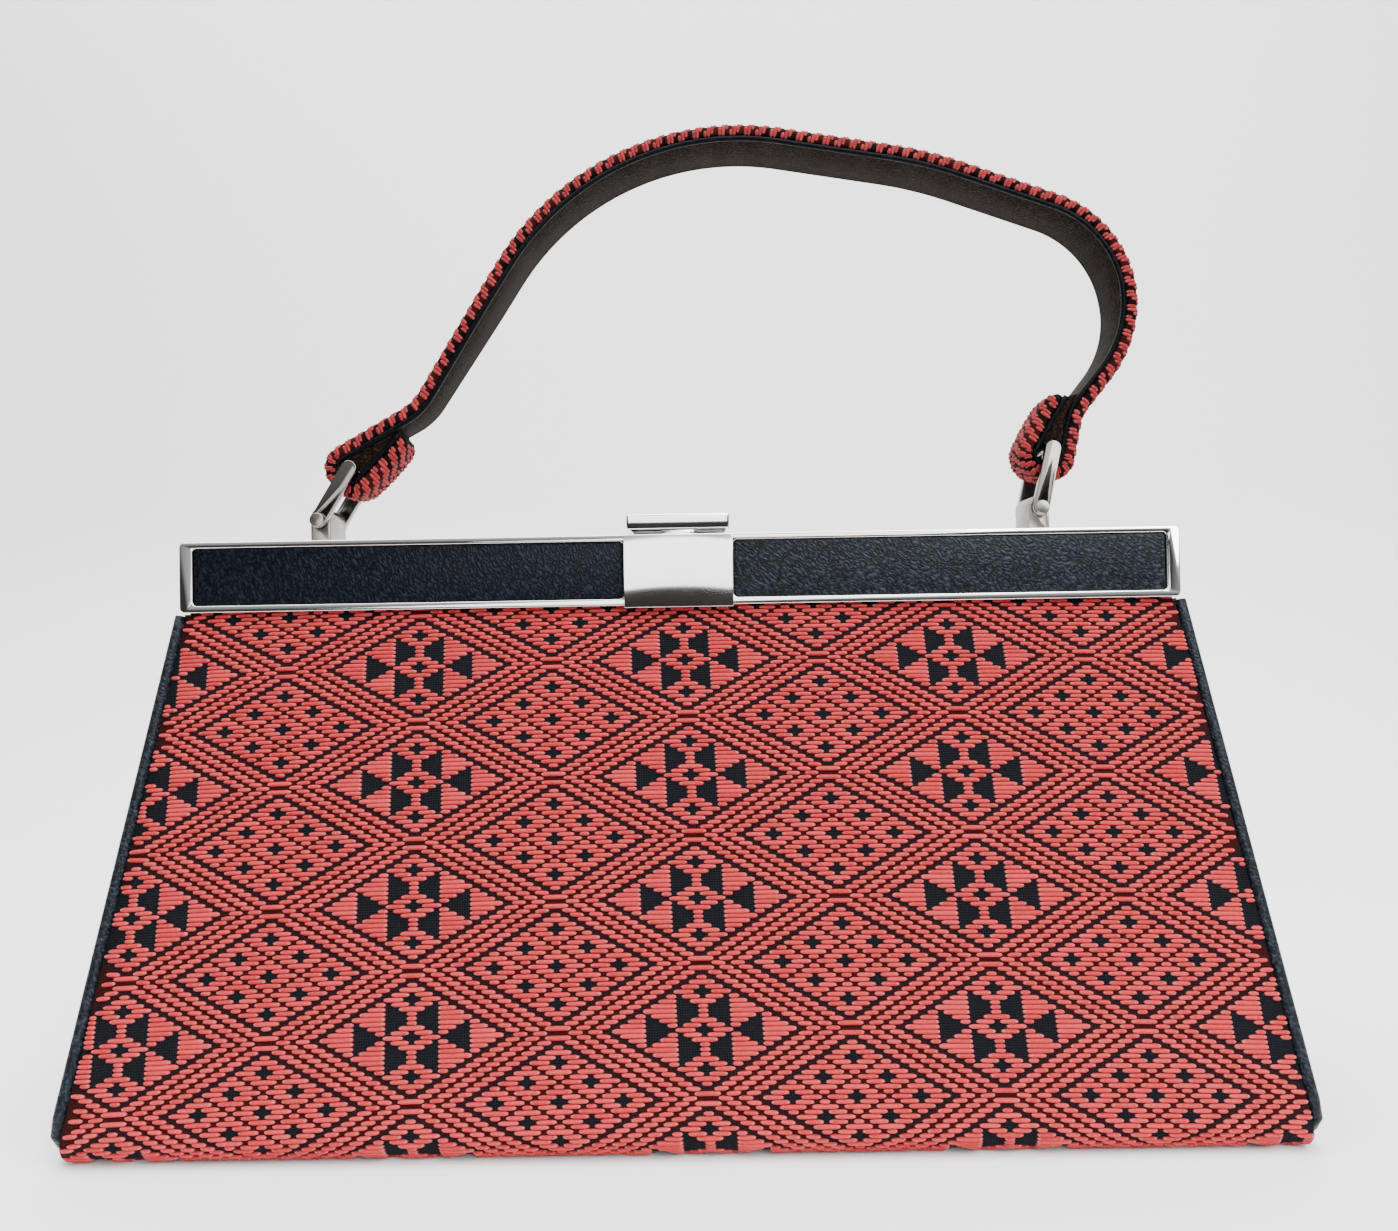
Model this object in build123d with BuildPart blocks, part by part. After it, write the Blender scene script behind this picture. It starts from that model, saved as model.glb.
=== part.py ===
"""Framed handbag in counted-stitch cloth, with a pressed metal frame, a lift clasp and a strap handle.

Millimetres, +Z up, origin at the middle of the base on the surface that the bag stands on.
The front looks along -Y, and +X is to the right of someone who faces the front.
"""

import os
from math import atan, cos, degrees, hypot, radians, sin, tan

from build123d import *

# Frame: two pressed halves that meet at Y = 0
frame_width = 257.0
frame_top = 145.0
band_height = 18.2
frame_half_depth = 17.0
frame_corner_radius = 1.3
split_gap = 0.3
band_thickness = 2.0
flange_thickness = 1.4
end_thickness = 1.6
rim = frame_top - band_height

# Leather inlays in the windows of the bands
top_rim = 1.6
lower_rim = 1.75
end_border = 3.4
window_radius = 1.0
window_depth = 1.1
inlay_thickness = 0.8
inlay_gap = 0.15

# Clasp: plate, lever, pin, bracket, catch and leaf spring
plate_width = 28.0
plate_edge = 0.8
plate_bulge = 0.9
plate_overhang = 0.6
plate_window_gap = 0.2
lever_width = 26.6
lever_gap = 1.5
lever_height = 3.9
lever_wall = 1.0
lever_setback = 0.1
lever_pin_depth = 7.0
lever_tail = 2.4
lever_edge_radius = 0.7
pin_rise = 1.4
pin_radius = 0.8
running_gap = 0.05
bracket_width = 10.0
bracket_radius = 1.2
tongue_width = 8.2
tongue_depth = 3.6
tongue_setback = 0.5
tongue_gap = 0.3
spring_width = 6.0
spring_thickness = 0.5
spring_foot_length = 3.0
spring_reach = 4.5
spring_tip_gap = 0.1
spring_bend_radius = 0.8

# Hinge of the frame: flat arms inside the gussets, riveted below the rim
arm_drop = 40.0
arm_width = 6.5
arm_thickness = 1.2
arm_gap = 0.2
arm_offset = 6.5
arm_knee_rise = 20.0
arm_top_gap = 0.4
arm_eye_radius = 4.0
hinge_radius = 1.5
hinge_head_radius = 3.0
hinge_head_thickness = 1.0
pad_inset = 1.0

# Handle fittings: lugs, rivets and links
lug_end_inset = 30.0
lug_width = 5.5
lug_depth = 13.0
lug_height = 10.7
lug_middle = 8.5
lug_pin_rise = 7.0
rivet_radius = 1.4
rivet_head_radius = 1.9
rivet_head_thickness = 0.9
rivet_head_gap = 0.1
link_length = 16.5
link_leg_width = 4.2
link_leg_thickness = 2.2
link_leg_gap = 0.35
link_bar_radius = 1.75
left_lean = 31.4
right_lean = 12.5

# Handle strap: stitched cloth outside, leather inside, folded round each link's bar
strap_cloth = 4.0
strap_leather = 1.2
strap_glue_gap = 0.05
strap_width = 18.0
strap_end_width = 12.6
strap_taper_start = 20.0
strap_taper_end = 62.0
strap_fold_gap = 0.35
strap_loop_radius = 1.6
left_strap_angle = 29.0
left_strap_gap = 3.2
left_loop_reach = 2.6
left_tab_gap = 2.5
left_tab_length = 17.5
left_knee = 23.5
right_strap_angle = 79.0
right_strap_gap = 2.8
right_loop_reach = 3.0
right_tab_gap = 3.2
right_tab_length = 16.6
right_knee = 11.0
crown_x = -21.1
crown_rise = 114.9
shoulder_x = 70.0
shoulder_rise = 99.5
bend_x = 148.3
bend_rise = 71.2
left_knee_radius = 14.0
crown_radius = 78.0
shoulder_radius = 120.0
bend_radius = 33.0
right_knee_radius = 10.0

# Body: one cloth cover down the front, under the base and up the rear
panel_inset = 2.35
base_half_depth = 51.0
base_edge_radius = 6.0
cover_thickness = 2.2
cover_hem = 3.5
hem_side_gap = 0.4
seam_overhang = 0.8
base_flare = 14.7
seam_gap = 0.15
rim_gap = 0.3

# Piping and gussets at the side seams
piping_radius = 1.5
piping_inset = 0.9
piping_base_rise = 4.2
piping_corner_radius = 5.0
piping_end_drop = 0.9
gusset_thickness = 1.4

# Lining pouch
lining_thickness = 0.8
lining_gap = 0.35
lining_hem = 2.5
lining_end_inset = 8.0
lining_base_inset = 10.3
lining_flare_drop = 10.0

# Stitched field: coral yarn over the dark ground, counted in threads and rows
thread_pitch = 0.914
row_pitch = 1.052
stitch_thickness = 0.6
stitch_side_gap = 0.3
stitch_top_gap = 0.8
stitch_base_gap = 1.0
motif_offset = 2.7
first_motif_drop = 14.7
repeat_thread_share = 74
repeat_row_share = 28
lozenge_thread_share = 23
side_triangle_shares = ((15, -2.9), (15, 2.9), (8, 0))
inner_triangle_shares = ((7, -6.7), (7, -1.3), (1, -4))
outline_inner_share = 0.4
outline_outer_share = 2.6
outline_tip_share = 1.5

# Shared by all cuts
overrun = 20.0

os.makedirs("parts", exist_ok=True)

# Places that follow from the sizes above
panel_half_depth = frame_half_depth - panel_inset
panel_slope = (base_half_depth - panel_half_depth) / rim
panel_lean = degrees(atan(panel_slope))
lean_share = hypot(1, panel_slope)
seam_half_rim = frame_width / 2 + seam_overhang
seam_half_base = seam_half_rim + base_flare
seam_slope = base_flare / rim
blank_half_length = seam_half_base + overrun
band_middle = rim + band_height / 2
hinge_height = rim - arm_drop
arm_outer = frame_width / 2 - end_thickness
lever_bottom = frame_top + lever_gap
lever_front = frame_half_depth - lever_setback
lever_depth = lever_front + lever_pin_depth + lever_tail
clasp_pin_height = lever_bottom + pin_rise
pin_height = frame_top + lug_pin_rise
strap_thickness = strap_cloth + strap_leather
lug_half_spacing = frame_width / 2 - lug_end_inset


def half_depth_at(height):
    """Half the depth of the cover's outside at a height."""
    return base_half_depth - panel_slope * height


def seam_at(height):
    """Distance of a side seam from the middle at a height."""
    return seam_half_base - seam_slope * height


def cover_half_at(height):
    """Half the length of the cover at a height, up to the piping."""
    return seam_at(height) - piping_radius - seam_gap


# Body cover: a bent band, trimmed to the slope of the side seams and tucked into the frame at the top
cover_top = rim + cover_hem
hem_half = arm_outer - hem_side_gap
tuck_height = rim - rim_gap

with BuildPart() as body_cover:
    with BuildSketch(Plane.YZ):
        with BuildLine():
            FilletPolyline(
                (-half_depth_at(cover_top), cover_top),
                (-base_half_depth, 0),
                (base_half_depth, 0),
                (half_depth_at(cover_top), cover_top),
                radius=base_edge_radius,
            )
            offset(amount=cover_thickness, side=Side.LEFT)
        make_face()
    extrude(amount=blank_half_length, both=True)
    with BuildSketch(Plane.XZ):
        Polygon(
            (-cover_half_at(-overrun), -overrun),
            (cover_half_at(-overrun), -overrun),
            (cover_half_at(tuck_height), tuck_height),
            (hem_half, tuck_height),
            (hem_half, cover_top + overrun),
            (-hem_half, cover_top + overrun),
            (-hem_half, tuck_height),
            (-cover_half_at(tuck_height), tuck_height),
        )
    extrude(amount=base_half_depth + overrun, both=True, mode=Mode.INTERSECT)

body_cover.part.label = "body_cover"
export_step(body_cover.part, "parts/body_cover.step")

# Stitched field: a thin sheet of yarn on the flat of the front, open where the dark ground shows through
front_face = Plane(
    origin=(0, -panel_half_depth, rim),
    x_dir=(1, 0, 0),
    z_dir=(0, -cos(radians(panel_lean)), sin(radians(panel_lean))),
)
edge_turn = 90 + panel_lean
flat_length = rim * lean_share - base_edge_radius * tan(radians(edge_turn / 2))
field_top = -stitch_top_gap
field_base = stitch_base_gap - flat_length
repeat_width = repeat_thread_share * thread_pitch
repeat_height = repeat_row_share * row_pitch


def field_half_at(down):
    """Half the length of the stitched field at a place on the front face, below the rim."""
    return cover_half_at(rim + down * cos(radians(panel_lean))) - stitch_side_gap


def in_field(outline):
    """True where a whole outline keeps a thread and a row inside the field."""
    return all(
        field_base + row_pitch < y < field_top - row_pitch and abs(x) < field_half_at(y) - thread_pitch
        for x, y in outline
    )


def in_threads(shares, middle, flip_x=1, flip_y=1):
    """An outline counted in threads and rows, laid about a motif's middle."""
    return [
        (middle[0] + flip_x * x * thread_pitch, middle[1] + flip_y * y * row_pitch) for x, y in shares
    ]


def outline_shares(flip):
    """The dark line along the two upper or lower sides of a lozenge, as one bent strip."""
    tip = lozenge_thread_share - outline_tip_share
    inner = lozenge_thread_share + outline_inner_share
    outer = lozenge_thread_share + outline_outer_share
    end_inner = flip * (inner - tip) / 2
    end_outer = flip * (outer - tip) / 2
    return (
        (-tip, end_inner),
        (0, flip * inner / 2),
        (tip, end_inner),
        (tip, end_outer),
        (0, flip * outer / 2),
        (-tip, end_outer),
    )


dark_shapes = []
for column in range(-5, 6):
    for line in range(5):
        middle = (
            motif_offset + column * repeat_width,
            -first_motif_drop - line * repeat_height,
        )
        for flip_y in (-1, 1):
            dark_shapes.append(in_threads(outline_shares(flip_y), middle))
        for flip_x in (-1, 1):
            dark_shapes.append(in_threads(side_triangle_shares, middle, flip_x))
            for flip_y in (-1, 1):
                dark_shapes.append(in_threads(inner_triangle_shares, middle, flip_x, flip_y))

with BuildPart() as front_stitching:
    with BuildSketch(front_face):
        Polygon(
            (-field_half_at(field_base), field_base),
            (field_half_at(field_base), field_base),
            (field_half_at(field_top), field_top),
            (-field_half_at(field_top), field_top),
        )
        holes = [Polygon(*shape, mode=Mode.PRIVATE) for shape in dark_shapes if in_field(shape)]
        add(holes, mode=Mode.SUBTRACT)
    extrude(amount=stitch_thickness)

front_stitching.part.label = "front_stitching"
export_step(front_stitching.part, "parts/front_stitching.step")

with BuildPart() as rear_stitching:
    mirror(front_stitching.part, about=Plane.XZ)

rear_stitching.part.label = "rear_stitching"
export_step(rear_stitching.part, "parts/rear_stitching.step")

# Piping: a leather cord in each side seam, down the front, round the base's end and up the rear
seam_share = hypot(1, seam_slope)
right_side = Plane(
    origin=(seam_half_base, 0, 0),
    x_dir=(0, 1, 0),
    z_dir=(1 / seam_share, 0, seam_slope / seam_share),
)
piping_top = rim - piping_end_drop
piping_top_half = half_depth_at(piping_top) - piping_inset
piping_base_half = half_depth_at(piping_base_rise) - piping_inset

with BuildPart() as piping_right:
    with BuildLine(right_side) as seam:
        FilletPolyline(
            (-piping_top_half, piping_top * seam_share),
            (-piping_base_half, piping_base_rise * seam_share),
            (piping_base_half, piping_base_rise * seam_share),
            (piping_top_half, piping_top * seam_share),
            radius=piping_corner_radius,
        )
    with BuildSketch(Plane(origin=seam.line @ 0, z_dir=seam.line % 0)):
        RegularPolygon(radius=piping_radius, side_count=8)
    sweep(path=seam.line)

piping_right.part.label = "piping_right"
export_step(piping_right.part, "parts/piping_right.step")

with BuildPart() as piping_left:
    mirror(piping_right.part, about=Plane.YZ)

piping_left.part.label = "piping_left"
export_step(piping_left.part, "parts/piping_left.step")

# Gussets: leather side panels that lie in the seams' slope, behind the piping
gusset_inset = piping_inset + piping_radius + seam_gap
gusset_base = piping_base_rise + piping_radius + seam_gap
gusset_top = rim - rim_gap
gusset_corner_radius = piping_corner_radius - piping_radius - seam_gap

with BuildPart() as gusset_right:
    with BuildSketch(Plane.YZ) as gusset_outline:
        Polygon(
            (gusset_inset - half_depth_at(gusset_base), gusset_base),
            (half_depth_at(gusset_base) - gusset_inset, gusset_base),
            (half_depth_at(gusset_top) - gusset_inset, gusset_top),
            (gusset_inset - half_depth_at(gusset_top), gusset_top),
        )
        fillet(gusset_outline.vertices().group_by(Axis.Y)[0], radius=gusset_corner_radius)
    extrude(amount=blank_half_length)
    with BuildSketch(Plane.XZ):
        Polygon(
            (seam_at(0) - gusset_thickness, 0),
            (seam_at(0), 0),
            (seam_at(rim), rim),
            (seam_at(rim) - gusset_thickness, rim),
        )
    extrude(amount=base_half_depth + overrun, both=True, mode=Mode.INTERSECT)

gusset_right.part.label = "gusset_right"
export_step(gusset_right.part, "parts/gusset_right.step")

with BuildPart() as gusset_left:
    mirror(gusset_right.part, about=Plane.YZ)

gusset_left.part.label = "gusset_left"
export_step(gusset_left.part, "parts/gusset_left.step")

# Lining: a cloth pouch inside the cover, narrow between the frame's arms and flared below them
lining_inset = (cover_thickness + lining_gap) * lean_share
lining_base = cover_thickness + lining_gap
lining_top = rim + lining_hem
lining_flare = hinge_height - lining_flare_drop
lining_half_length = frame_width / 2 - lining_end_inset
lining_base_half_length = seam_half_base - lining_base_inset

with BuildPart() as lining:
    with BuildSketch(Plane.YZ) as lining_outline:
        Polygon(
            (lining_inset - half_depth_at(lining_base), lining_base),
            (half_depth_at(lining_base) - lining_inset, lining_base),
            (half_depth_at(lining_top) - lining_inset, lining_top),
            (lining_inset - half_depth_at(lining_top), lining_top),
        )
        fillet(lining_outline.vertices().group_by(Axis.Y)[0], radius=base_edge_radius - lining_base)
    extrude(amount=blank_half_length, both=True)
    with BuildSketch(Plane.XZ):
        Polygon(
            (-lining_base_half_length, 0),
            (lining_base_half_length, 0),
            (lining_half_length, lining_flare),
            (lining_half_length, lining_top + overrun),
            (-lining_half_length, lining_top + overrun),
            (-lining_half_length, lining_flare),
        )
    extrude(amount=base_half_depth + overrun, both=True, mode=Mode.INTERSECT)
    offset(amount=-lining_thickness, openings=lining.faces().sort_by(Axis.Z)[-1])

lining.part.label = "lining"
export_step(lining.part, "parts/lining.step")

# Frame halves: pressed channels, open below and towards each other, with sunk windows for the leather
window_height = band_height - top_rim - lower_rim
window_middle = rim + lower_rim + window_height / 2
window_inner = plate_width / 2 + plate_window_gap
window_outer = frame_width / 2 - end_border
side_window = (window_inner + window_outer) / 2
side_window_width = window_outer - window_inner


def frame_half(windows):
    """The front channel of the frame, with windows given as pairs of middle and width."""
    with BuildPart() as half:
        with BuildSketch(Plane.XZ.offset(frame_half_depth)):
            with Locations((0, band_middle)):
                RectangleRounded(frame_width, band_height, frame_corner_radius)
        extrude(amount=split_gap / 2 - frame_half_depth)
        with BuildSketch(Plane.XZ.offset(frame_half_depth - band_thickness)):
            with Locations((0, frame_top - flange_thickness - (band_height + overrun) / 2)):
                Rectangle(2 * arm_outer, band_height + overrun)
        extrude(amount=-frame_half_depth, mode=Mode.SUBTRACT)
        with BuildSketch(Plane.XZ.offset(frame_half_depth)):
            for middle_x, width in windows:
                with Locations((middle_x, window_middle)):
                    RectangleRounded(width, window_height, window_radius)
        extrude(amount=-window_depth, mode=Mode.SUBTRACT)
    return half.part


def inlay(middle_x, width):
    """A leather inlay on the floor of a front window."""
    floor = frame_half_depth - window_depth
    with BuildPart() as leather:
        with BuildSketch(Plane.XZ.offset(floor)):
            with Locations((middle_x, window_middle)):
                RectangleRounded(width - 2 * inlay_gap, window_height - 2 * inlay_gap, window_radius)
        extrude(amount=inlay_thickness)
    return leather.part


with BuildPart() as front_frame:
    add(frame_half([(-side_window, side_window_width), (side_window, side_window_width)]))

front_frame.part.label = "front_frame"
export_step(front_frame.part, "parts/front_frame.step")

with BuildPart() as rear_frame:
    mirror(frame_half([(0, 2 * window_outer)]), about=Plane.XZ)

rear_frame.part.label = "rear_frame"
export_step(rear_frame.part, "parts/rear_frame.step")

with BuildPart() as rear_inlay:
    mirror(inlay(0, 2 * window_outer), about=Plane.XZ)

rear_inlay.part.label = "rear_inlay"
export_step(rear_inlay.part, "parts/rear_inlay.step")

for side_name, side in (("left", -1), ("right", 1)):
    with BuildPart() as side_inlay:
        add(inlay(side * side_window, side_window_width))
    side_inlay.part.label = f"inlay_{side_name}"
    export_step(side_inlay.part, f"parts/inlay_{side_name}.step")

# Clasp plate: bright, slightly crowned, on the middle of the front band and a little below its rim
plate_back = -frame_half_depth
plate_front = plate_back - plate_edge
plate_base = rim - plate_overhang

with BuildPart() as clasp_plate:
    with BuildSketch(Plane.YZ.offset(-plate_width / 2)):
        with BuildLine():
            Polyline(
                (plate_front, plate_base),
                (plate_back, plate_base),
                (plate_back, frame_top),
                (plate_front, frame_top),
            )
            ThreePointArc(
                (plate_front, frame_top),
                (plate_front - plate_bulge, (plate_base + frame_top) / 2),
                (plate_front, plate_base),
            )
        make_face()
    extrude(amount=plate_width)

clasp_plate.part.label = "clasp_plate"
export_step(clasp_plate.part, "parts/clasp_plate.step")

# Catch tongue: the tab on the front half that the lever comes down on
with BuildPart() as catch_tongue:
    with BuildSketch(Plane.XY.offset(frame_top)):
        with Locations((0, tongue_setback + tongue_depth / 2 - frame_half_depth)):
            Rectangle(tongue_width, tongue_depth)
    extrude(amount=lever_gap - tongue_gap)
    fillet(catch_tongue.edges().group_by(Axis.Z)[-1].sort_by(Axis.Y)[0], radius=tongue_gap)

catch_tongue.part.label = "catch_tongue"
export_step(catch_tongue.part, "parts/catch_tongue.step")

# Clasp lever: a hood over both halves, open below and behind, on a pin at its tail
lever_middle = lever_depth / 2 - lever_front

with BuildPart() as clasp_lever:
    with BuildSketch(Plane.XY.offset(lever_bottom)):
        with Locations((0, lever_middle)):
            Rectangle(lever_width, lever_depth)
    extrude(amount=lever_height)
    fillet(clasp_lever.edges().filter_by(Axis.Z).group_by(Axis.Y)[0], radius=lever_edge_radius)
    fillet(clasp_lever.faces().sort_by(Axis.Z)[-1].edges(), radius=lever_edge_radius)
    with BuildSketch(Plane.XY.offset(lever_bottom)):
        with Locations((0, lever_middle + (lever_wall + overrun) / 2)):
            Rectangle(lever_width - 2 * lever_wall, lever_depth - lever_wall + overrun)
    extrude(amount=lever_height - lever_wall, mode=Mode.SUBTRACT)
    with BuildSketch(Plane.YZ):
        with Locations((lever_pin_depth, clasp_pin_height)):
            Circle(pin_radius + running_gap)
    extrude(amount=lever_width, both=True, mode=Mode.SUBTRACT)

clasp_lever.part.label = "clasp_lever"
export_step(clasp_lever.part, "parts/clasp_lever.step")

# Clasp bracket and pin on the rear half
with BuildPart() as clasp_bracket:
    with BuildSketch(Plane.YZ):
        with Locations((lever_pin_depth, (frame_top + clasp_pin_height) / 2)):
            Rectangle(2 * bracket_radius, clasp_pin_height - frame_top)
        with Locations((lever_pin_depth, clasp_pin_height)):
            Circle(bracket_radius)
            Circle(pin_radius + running_gap, mode=Mode.SUBTRACT)
    extrude(amount=bracket_width / 2, both=True)

clasp_bracket.part.label = "clasp_bracket"
export_step(clasp_bracket.part, "parts/clasp_bracket.step")

with BuildPart() as clasp_pin:
    with BuildSketch(Plane.YZ):
        with Locations((lever_pin_depth, clasp_pin_height)):
            Circle(pin_radius)
    extrude(amount=lever_width / 2, both=True)

clasp_pin.part.label = "clasp_pin"
export_step(clasp_pin.part, "parts/clasp_pin.step")

# Clasp spring: a leaf on the rear flange that pushes the lever's tail up
spring_tip = lever_pin_depth + lever_tail - spring_thickness
spring_bend = spring_tip + spring_reach - spring_thickness
spring_tip_height = lever_bottom + lever_height - lever_wall - spring_tip_gap

with BuildPart() as clasp_spring:
    with BuildSketch(Plane.YZ.offset(-spring_width / 2)):
        with BuildLine():
            FilletPolyline(
                (spring_bend + spring_foot_length, frame_top),
                (spring_bend, frame_top),
                (spring_tip, spring_tip_height - spring_thickness),
                radius=spring_bend_radius,
            )
            offset(amount=spring_thickness, side=Side.RIGHT)
        make_face()
    extrude(amount=spring_width)

clasp_spring.part.label = "clasp_spring"
export_step(clasp_spring.part, "parts/clasp_spring.step")

# Hinge of the frame: a flat arm from each end of each half, eyed on a rivet inside the gusset
arm_top = frame_top - flange_thickness - arm_top_gap
arm_knee = hinge_height + arm_knee_rise
rear_arm_inner = arm_outer - 2 * arm_thickness - arm_gap
pad_height = band_height - flange_thickness - 2 * pad_inset


def arm_outline(side):
    """The flat outline of an arm in the YZ plane, on the front or rear side."""
    with BuildSketch() as outline:
        Polygon(
            (-arm_width / 2, hinge_height),
            (arm_width / 2, hinge_height),
            (side * arm_offset + arm_width / 2, arm_knee),
            (side * arm_offset + arm_width / 2, arm_top),
            (side * arm_offset - arm_width / 2, arm_top),
            (side * arm_offset - arm_width / 2, arm_knee),
        )
        with Locations((0, hinge_height)):
            Circle(arm_eye_radius)
            Circle(hinge_radius + running_gap, mode=Mode.SUBTRACT)
    return outline.sketch


with BuildPart() as front_arm_right:
    with BuildSketch(Plane.YZ.offset(arm_outer - arm_thickness)):
        add(arm_outline(-1))
    extrude(amount=arm_thickness)

with BuildPart() as rear_arm_right:
    with BuildSketch(Plane.YZ.offset(rear_arm_inner)):
        add(arm_outline(1))
    extrude(amount=arm_thickness)
    with BuildSketch(Plane.YZ.offset(rear_arm_inner)):
        with Locations((arm_offset, rim + pad_inset + pad_height / 2)):
            Rectangle(arm_width, pad_height)
    extrude(amount=arm_outer - rear_arm_inner)

with BuildPart() as hinge_rivet_right:
    with BuildSketch(Plane.YZ.offset(rear_arm_inner - arm_gap - hinge_head_thickness)):
        with Locations((0, hinge_height)):
            Circle(hinge_head_radius)
    extrude(amount=hinge_head_thickness)
    with BuildSketch(Plane.YZ.offset(rear_arm_inner - arm_gap)):
        with Locations((0, hinge_height)):
            Circle(hinge_radius)
    extrude(amount=arm_outer + arm_gap - (rear_arm_inner - arm_gap))
    with BuildSketch(Plane.YZ.offset(arm_outer + arm_gap)):
        with Locations((0, hinge_height)):
            Circle(hinge_head_radius)
    extrude(amount=hinge_head_thickness)

for piece_name, right_piece in (
    ("front_arm", front_arm_right),
    ("rear_arm", rear_arm_right),
    ("hinge_rivet", hinge_rivet_right),
):
    right_piece.part.label = f"{piece_name}_right"
    export_step(right_piece.part, f"parts/{piece_name}_right.step")
    with BuildPart() as left_piece:
        mirror(right_piece.part, about=Plane.YZ)
    left_piece.part.label = f"{piece_name}_left"
    export_step(left_piece.part, f"parts/{piece_name}_left.step")

# Handle fittings: on each side a round-topped lug, a rivet through it and a link that straddles it
lug_front = lug_middle - lug_depth / 2
leg_front = lug_front - link_leg_gap - link_leg_thickness
link_span = lug_depth + 2 * (link_leg_gap + link_leg_thickness)
lug_round = lug_width / 2


def bar_at(side, lean):
    """The middle of a link's bar in the XZ plane."""
    return (
        side * lug_half_spacing + link_length * sin(radians(lean)),
        pin_height + link_length * cos(radians(lean)),
    )


for side_name, side, lean in (("left", -1, left_lean), ("right", 1, right_lean)):
    pin_x = side * lug_half_spacing
    bar_x, bar_z = bar_at(side, lean)

    with BuildPart() as lug:
        with BuildSketch(Plane.XZ.offset(-lug_front)):
            with Locations((pin_x, frame_top + (lug_height - lug_round) / 2)):
                Rectangle(lug_width, lug_height - lug_round)
            with Locations((pin_x, frame_top + lug_height - lug_round)):
                Circle(lug_round)
            with Locations((pin_x, pin_height)):
                Circle(rivet_radius + running_gap, mode=Mode.SUBTRACT)
        extrude(amount=-lug_depth)
    lug.part.label = f"handle_lug_{side_name}"
    export_step(lug.part, f"parts/handle_lug_{side_name}.step")

    with BuildPart() as rivet:
        with BuildSketch(Plane.XZ.offset(rivet_head_gap - leg_front)):
            with Locations((pin_x, pin_height)):
                Circle(rivet_radius)
        extrude(amount=-(link_span + 2 * rivet_head_gap))
        for head_front in (
            leg_front - rivet_head_gap - rivet_head_thickness,
            leg_front + link_span + rivet_head_gap,
        ):
            with BuildSketch(Plane.XZ.offset(-head_front)):
                with Locations((pin_x, pin_height)):
                    Circle(rivet_head_radius)
            extrude(amount=-rivet_head_thickness)
    rivet.part.label = f"link_rivet_{side_name}"
    export_step(rivet.part, f"parts/link_rivet_{side_name}.step")

    with BuildPart() as link:
        for front in (leg_front, leg_front + link_span - link_leg_thickness):
            with BuildSketch(Plane.XZ.offset(-front)):
                with Locations(((pin_x + bar_x) / 2, (pin_height + bar_z) / 2)):
                    SlotCenterToCenter(link_length, link_leg_width, rotation=90 - lean)
                with Locations((pin_x, pin_height)):
                    Circle(rivet_radius + running_gap, mode=Mode.SUBTRACT)
            extrude(amount=-link_leg_thickness)
        with BuildSketch(Plane.XZ.offset(-leg_front)):
            with Locations((bar_x, bar_z)):
                Circle(link_bar_radius)
        extrude(amount=-link_span)
    link.part.label = f"link_{side_name}"
    export_step(link.part, f"parts/link_{side_name}.step")

# Handle strap: its outer line runs from the left tab round the left bar, up and round the right bar
left_bar = bar_at(-1, left_lean)
right_bar = bar_at(1, right_lean)


def beside_bar(bar, angle, along, across):
    """A point given along and across the strap's direction from the middle of a bar."""
    turn = radians(angle)
    return (
        bar[0] + along * cos(turn) - across * sin(turn),
        bar[1] + along * sin(turn) + across * cos(turn),
    )


left_tab_end = left_strap_gap - strap_fold_gap - strap_thickness
left_tab_middle = -(left_tab_gap + strap_thickness)
left_loop_end = left_loop_reach + strap_thickness
left_tab_turn = left_tab_middle - (left_tab_end - left_tab_middle) / left_tab_length * left_loop_end
right_tab_end = strap_fold_gap + strap_thickness - right_strap_gap
right_tab_middle = right_tab_gap + strap_thickness
right_loop_end = right_loop_reach + strap_thickness
right_tab_turn = right_tab_middle + (right_tab_middle - right_tab_end) / right_tab_length * right_loop_end
left_outer = left_strap_gap + strap_thickness
right_outer = -(right_strap_gap + strap_thickness)
loop_outer_radius = strap_loop_radius + strap_thickness

strap_points = (
    beside_bar(left_bar, left_strap_angle, left_tab_length, left_tab_end),
    beside_bar(left_bar, left_strap_angle, -left_loop_end, left_tab_turn),
    beside_bar(left_bar, left_strap_angle, -left_loop_end, left_outer),
    beside_bar(left_bar, left_strap_angle, left_knee, left_outer),
    (crown_x, pin_height + crown_rise),
    (shoulder_x, pin_height + shoulder_rise),
    (bend_x, pin_height + bend_rise),
    beside_bar(right_bar, right_strap_angle, right_knee, right_outer),
    beside_bar(right_bar, right_strap_angle, -right_loop_end, right_outer),
    beside_bar(right_bar, right_strap_angle, -right_loop_end, right_tab_turn),
    beside_bar(right_bar, right_strap_angle, right_tab_length, right_tab_end),
)
strap_radii = (
    loop_outer_radius,
    loop_outer_radius,
    left_knee_radius,
    crown_radius,
    shoulder_radius,
    bend_radius,
    right_knee_radius,
    loop_outer_radius,
    loop_outer_radius,
)
strap_plane = Plane.XZ.offset(-lug_middle)
taper_low = pin_height + strap_taper_start
taper_high = pin_height + strap_taper_end
strap_top = pin_height + crown_rise


def strap_taper():
    """The side view that both layers of the strap are trimmed to: narrow at the links, wide in the hand."""
    with BuildSketch() as outline:
        with Locations((lug_middle, 0)):
            Polygon(
                (-strap_end_width / 2, frame_top - overrun),
                (strap_end_width / 2, frame_top - overrun),
                (strap_end_width / 2, taper_low),
                (strap_width / 2, taper_high),
                (strap_width / 2, strap_top),
                (-strap_width / 2, strap_top),
                (-strap_width / 2, taper_high),
                (-strap_end_width / 2, taper_low),
            )
    return outline.sketch


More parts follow.
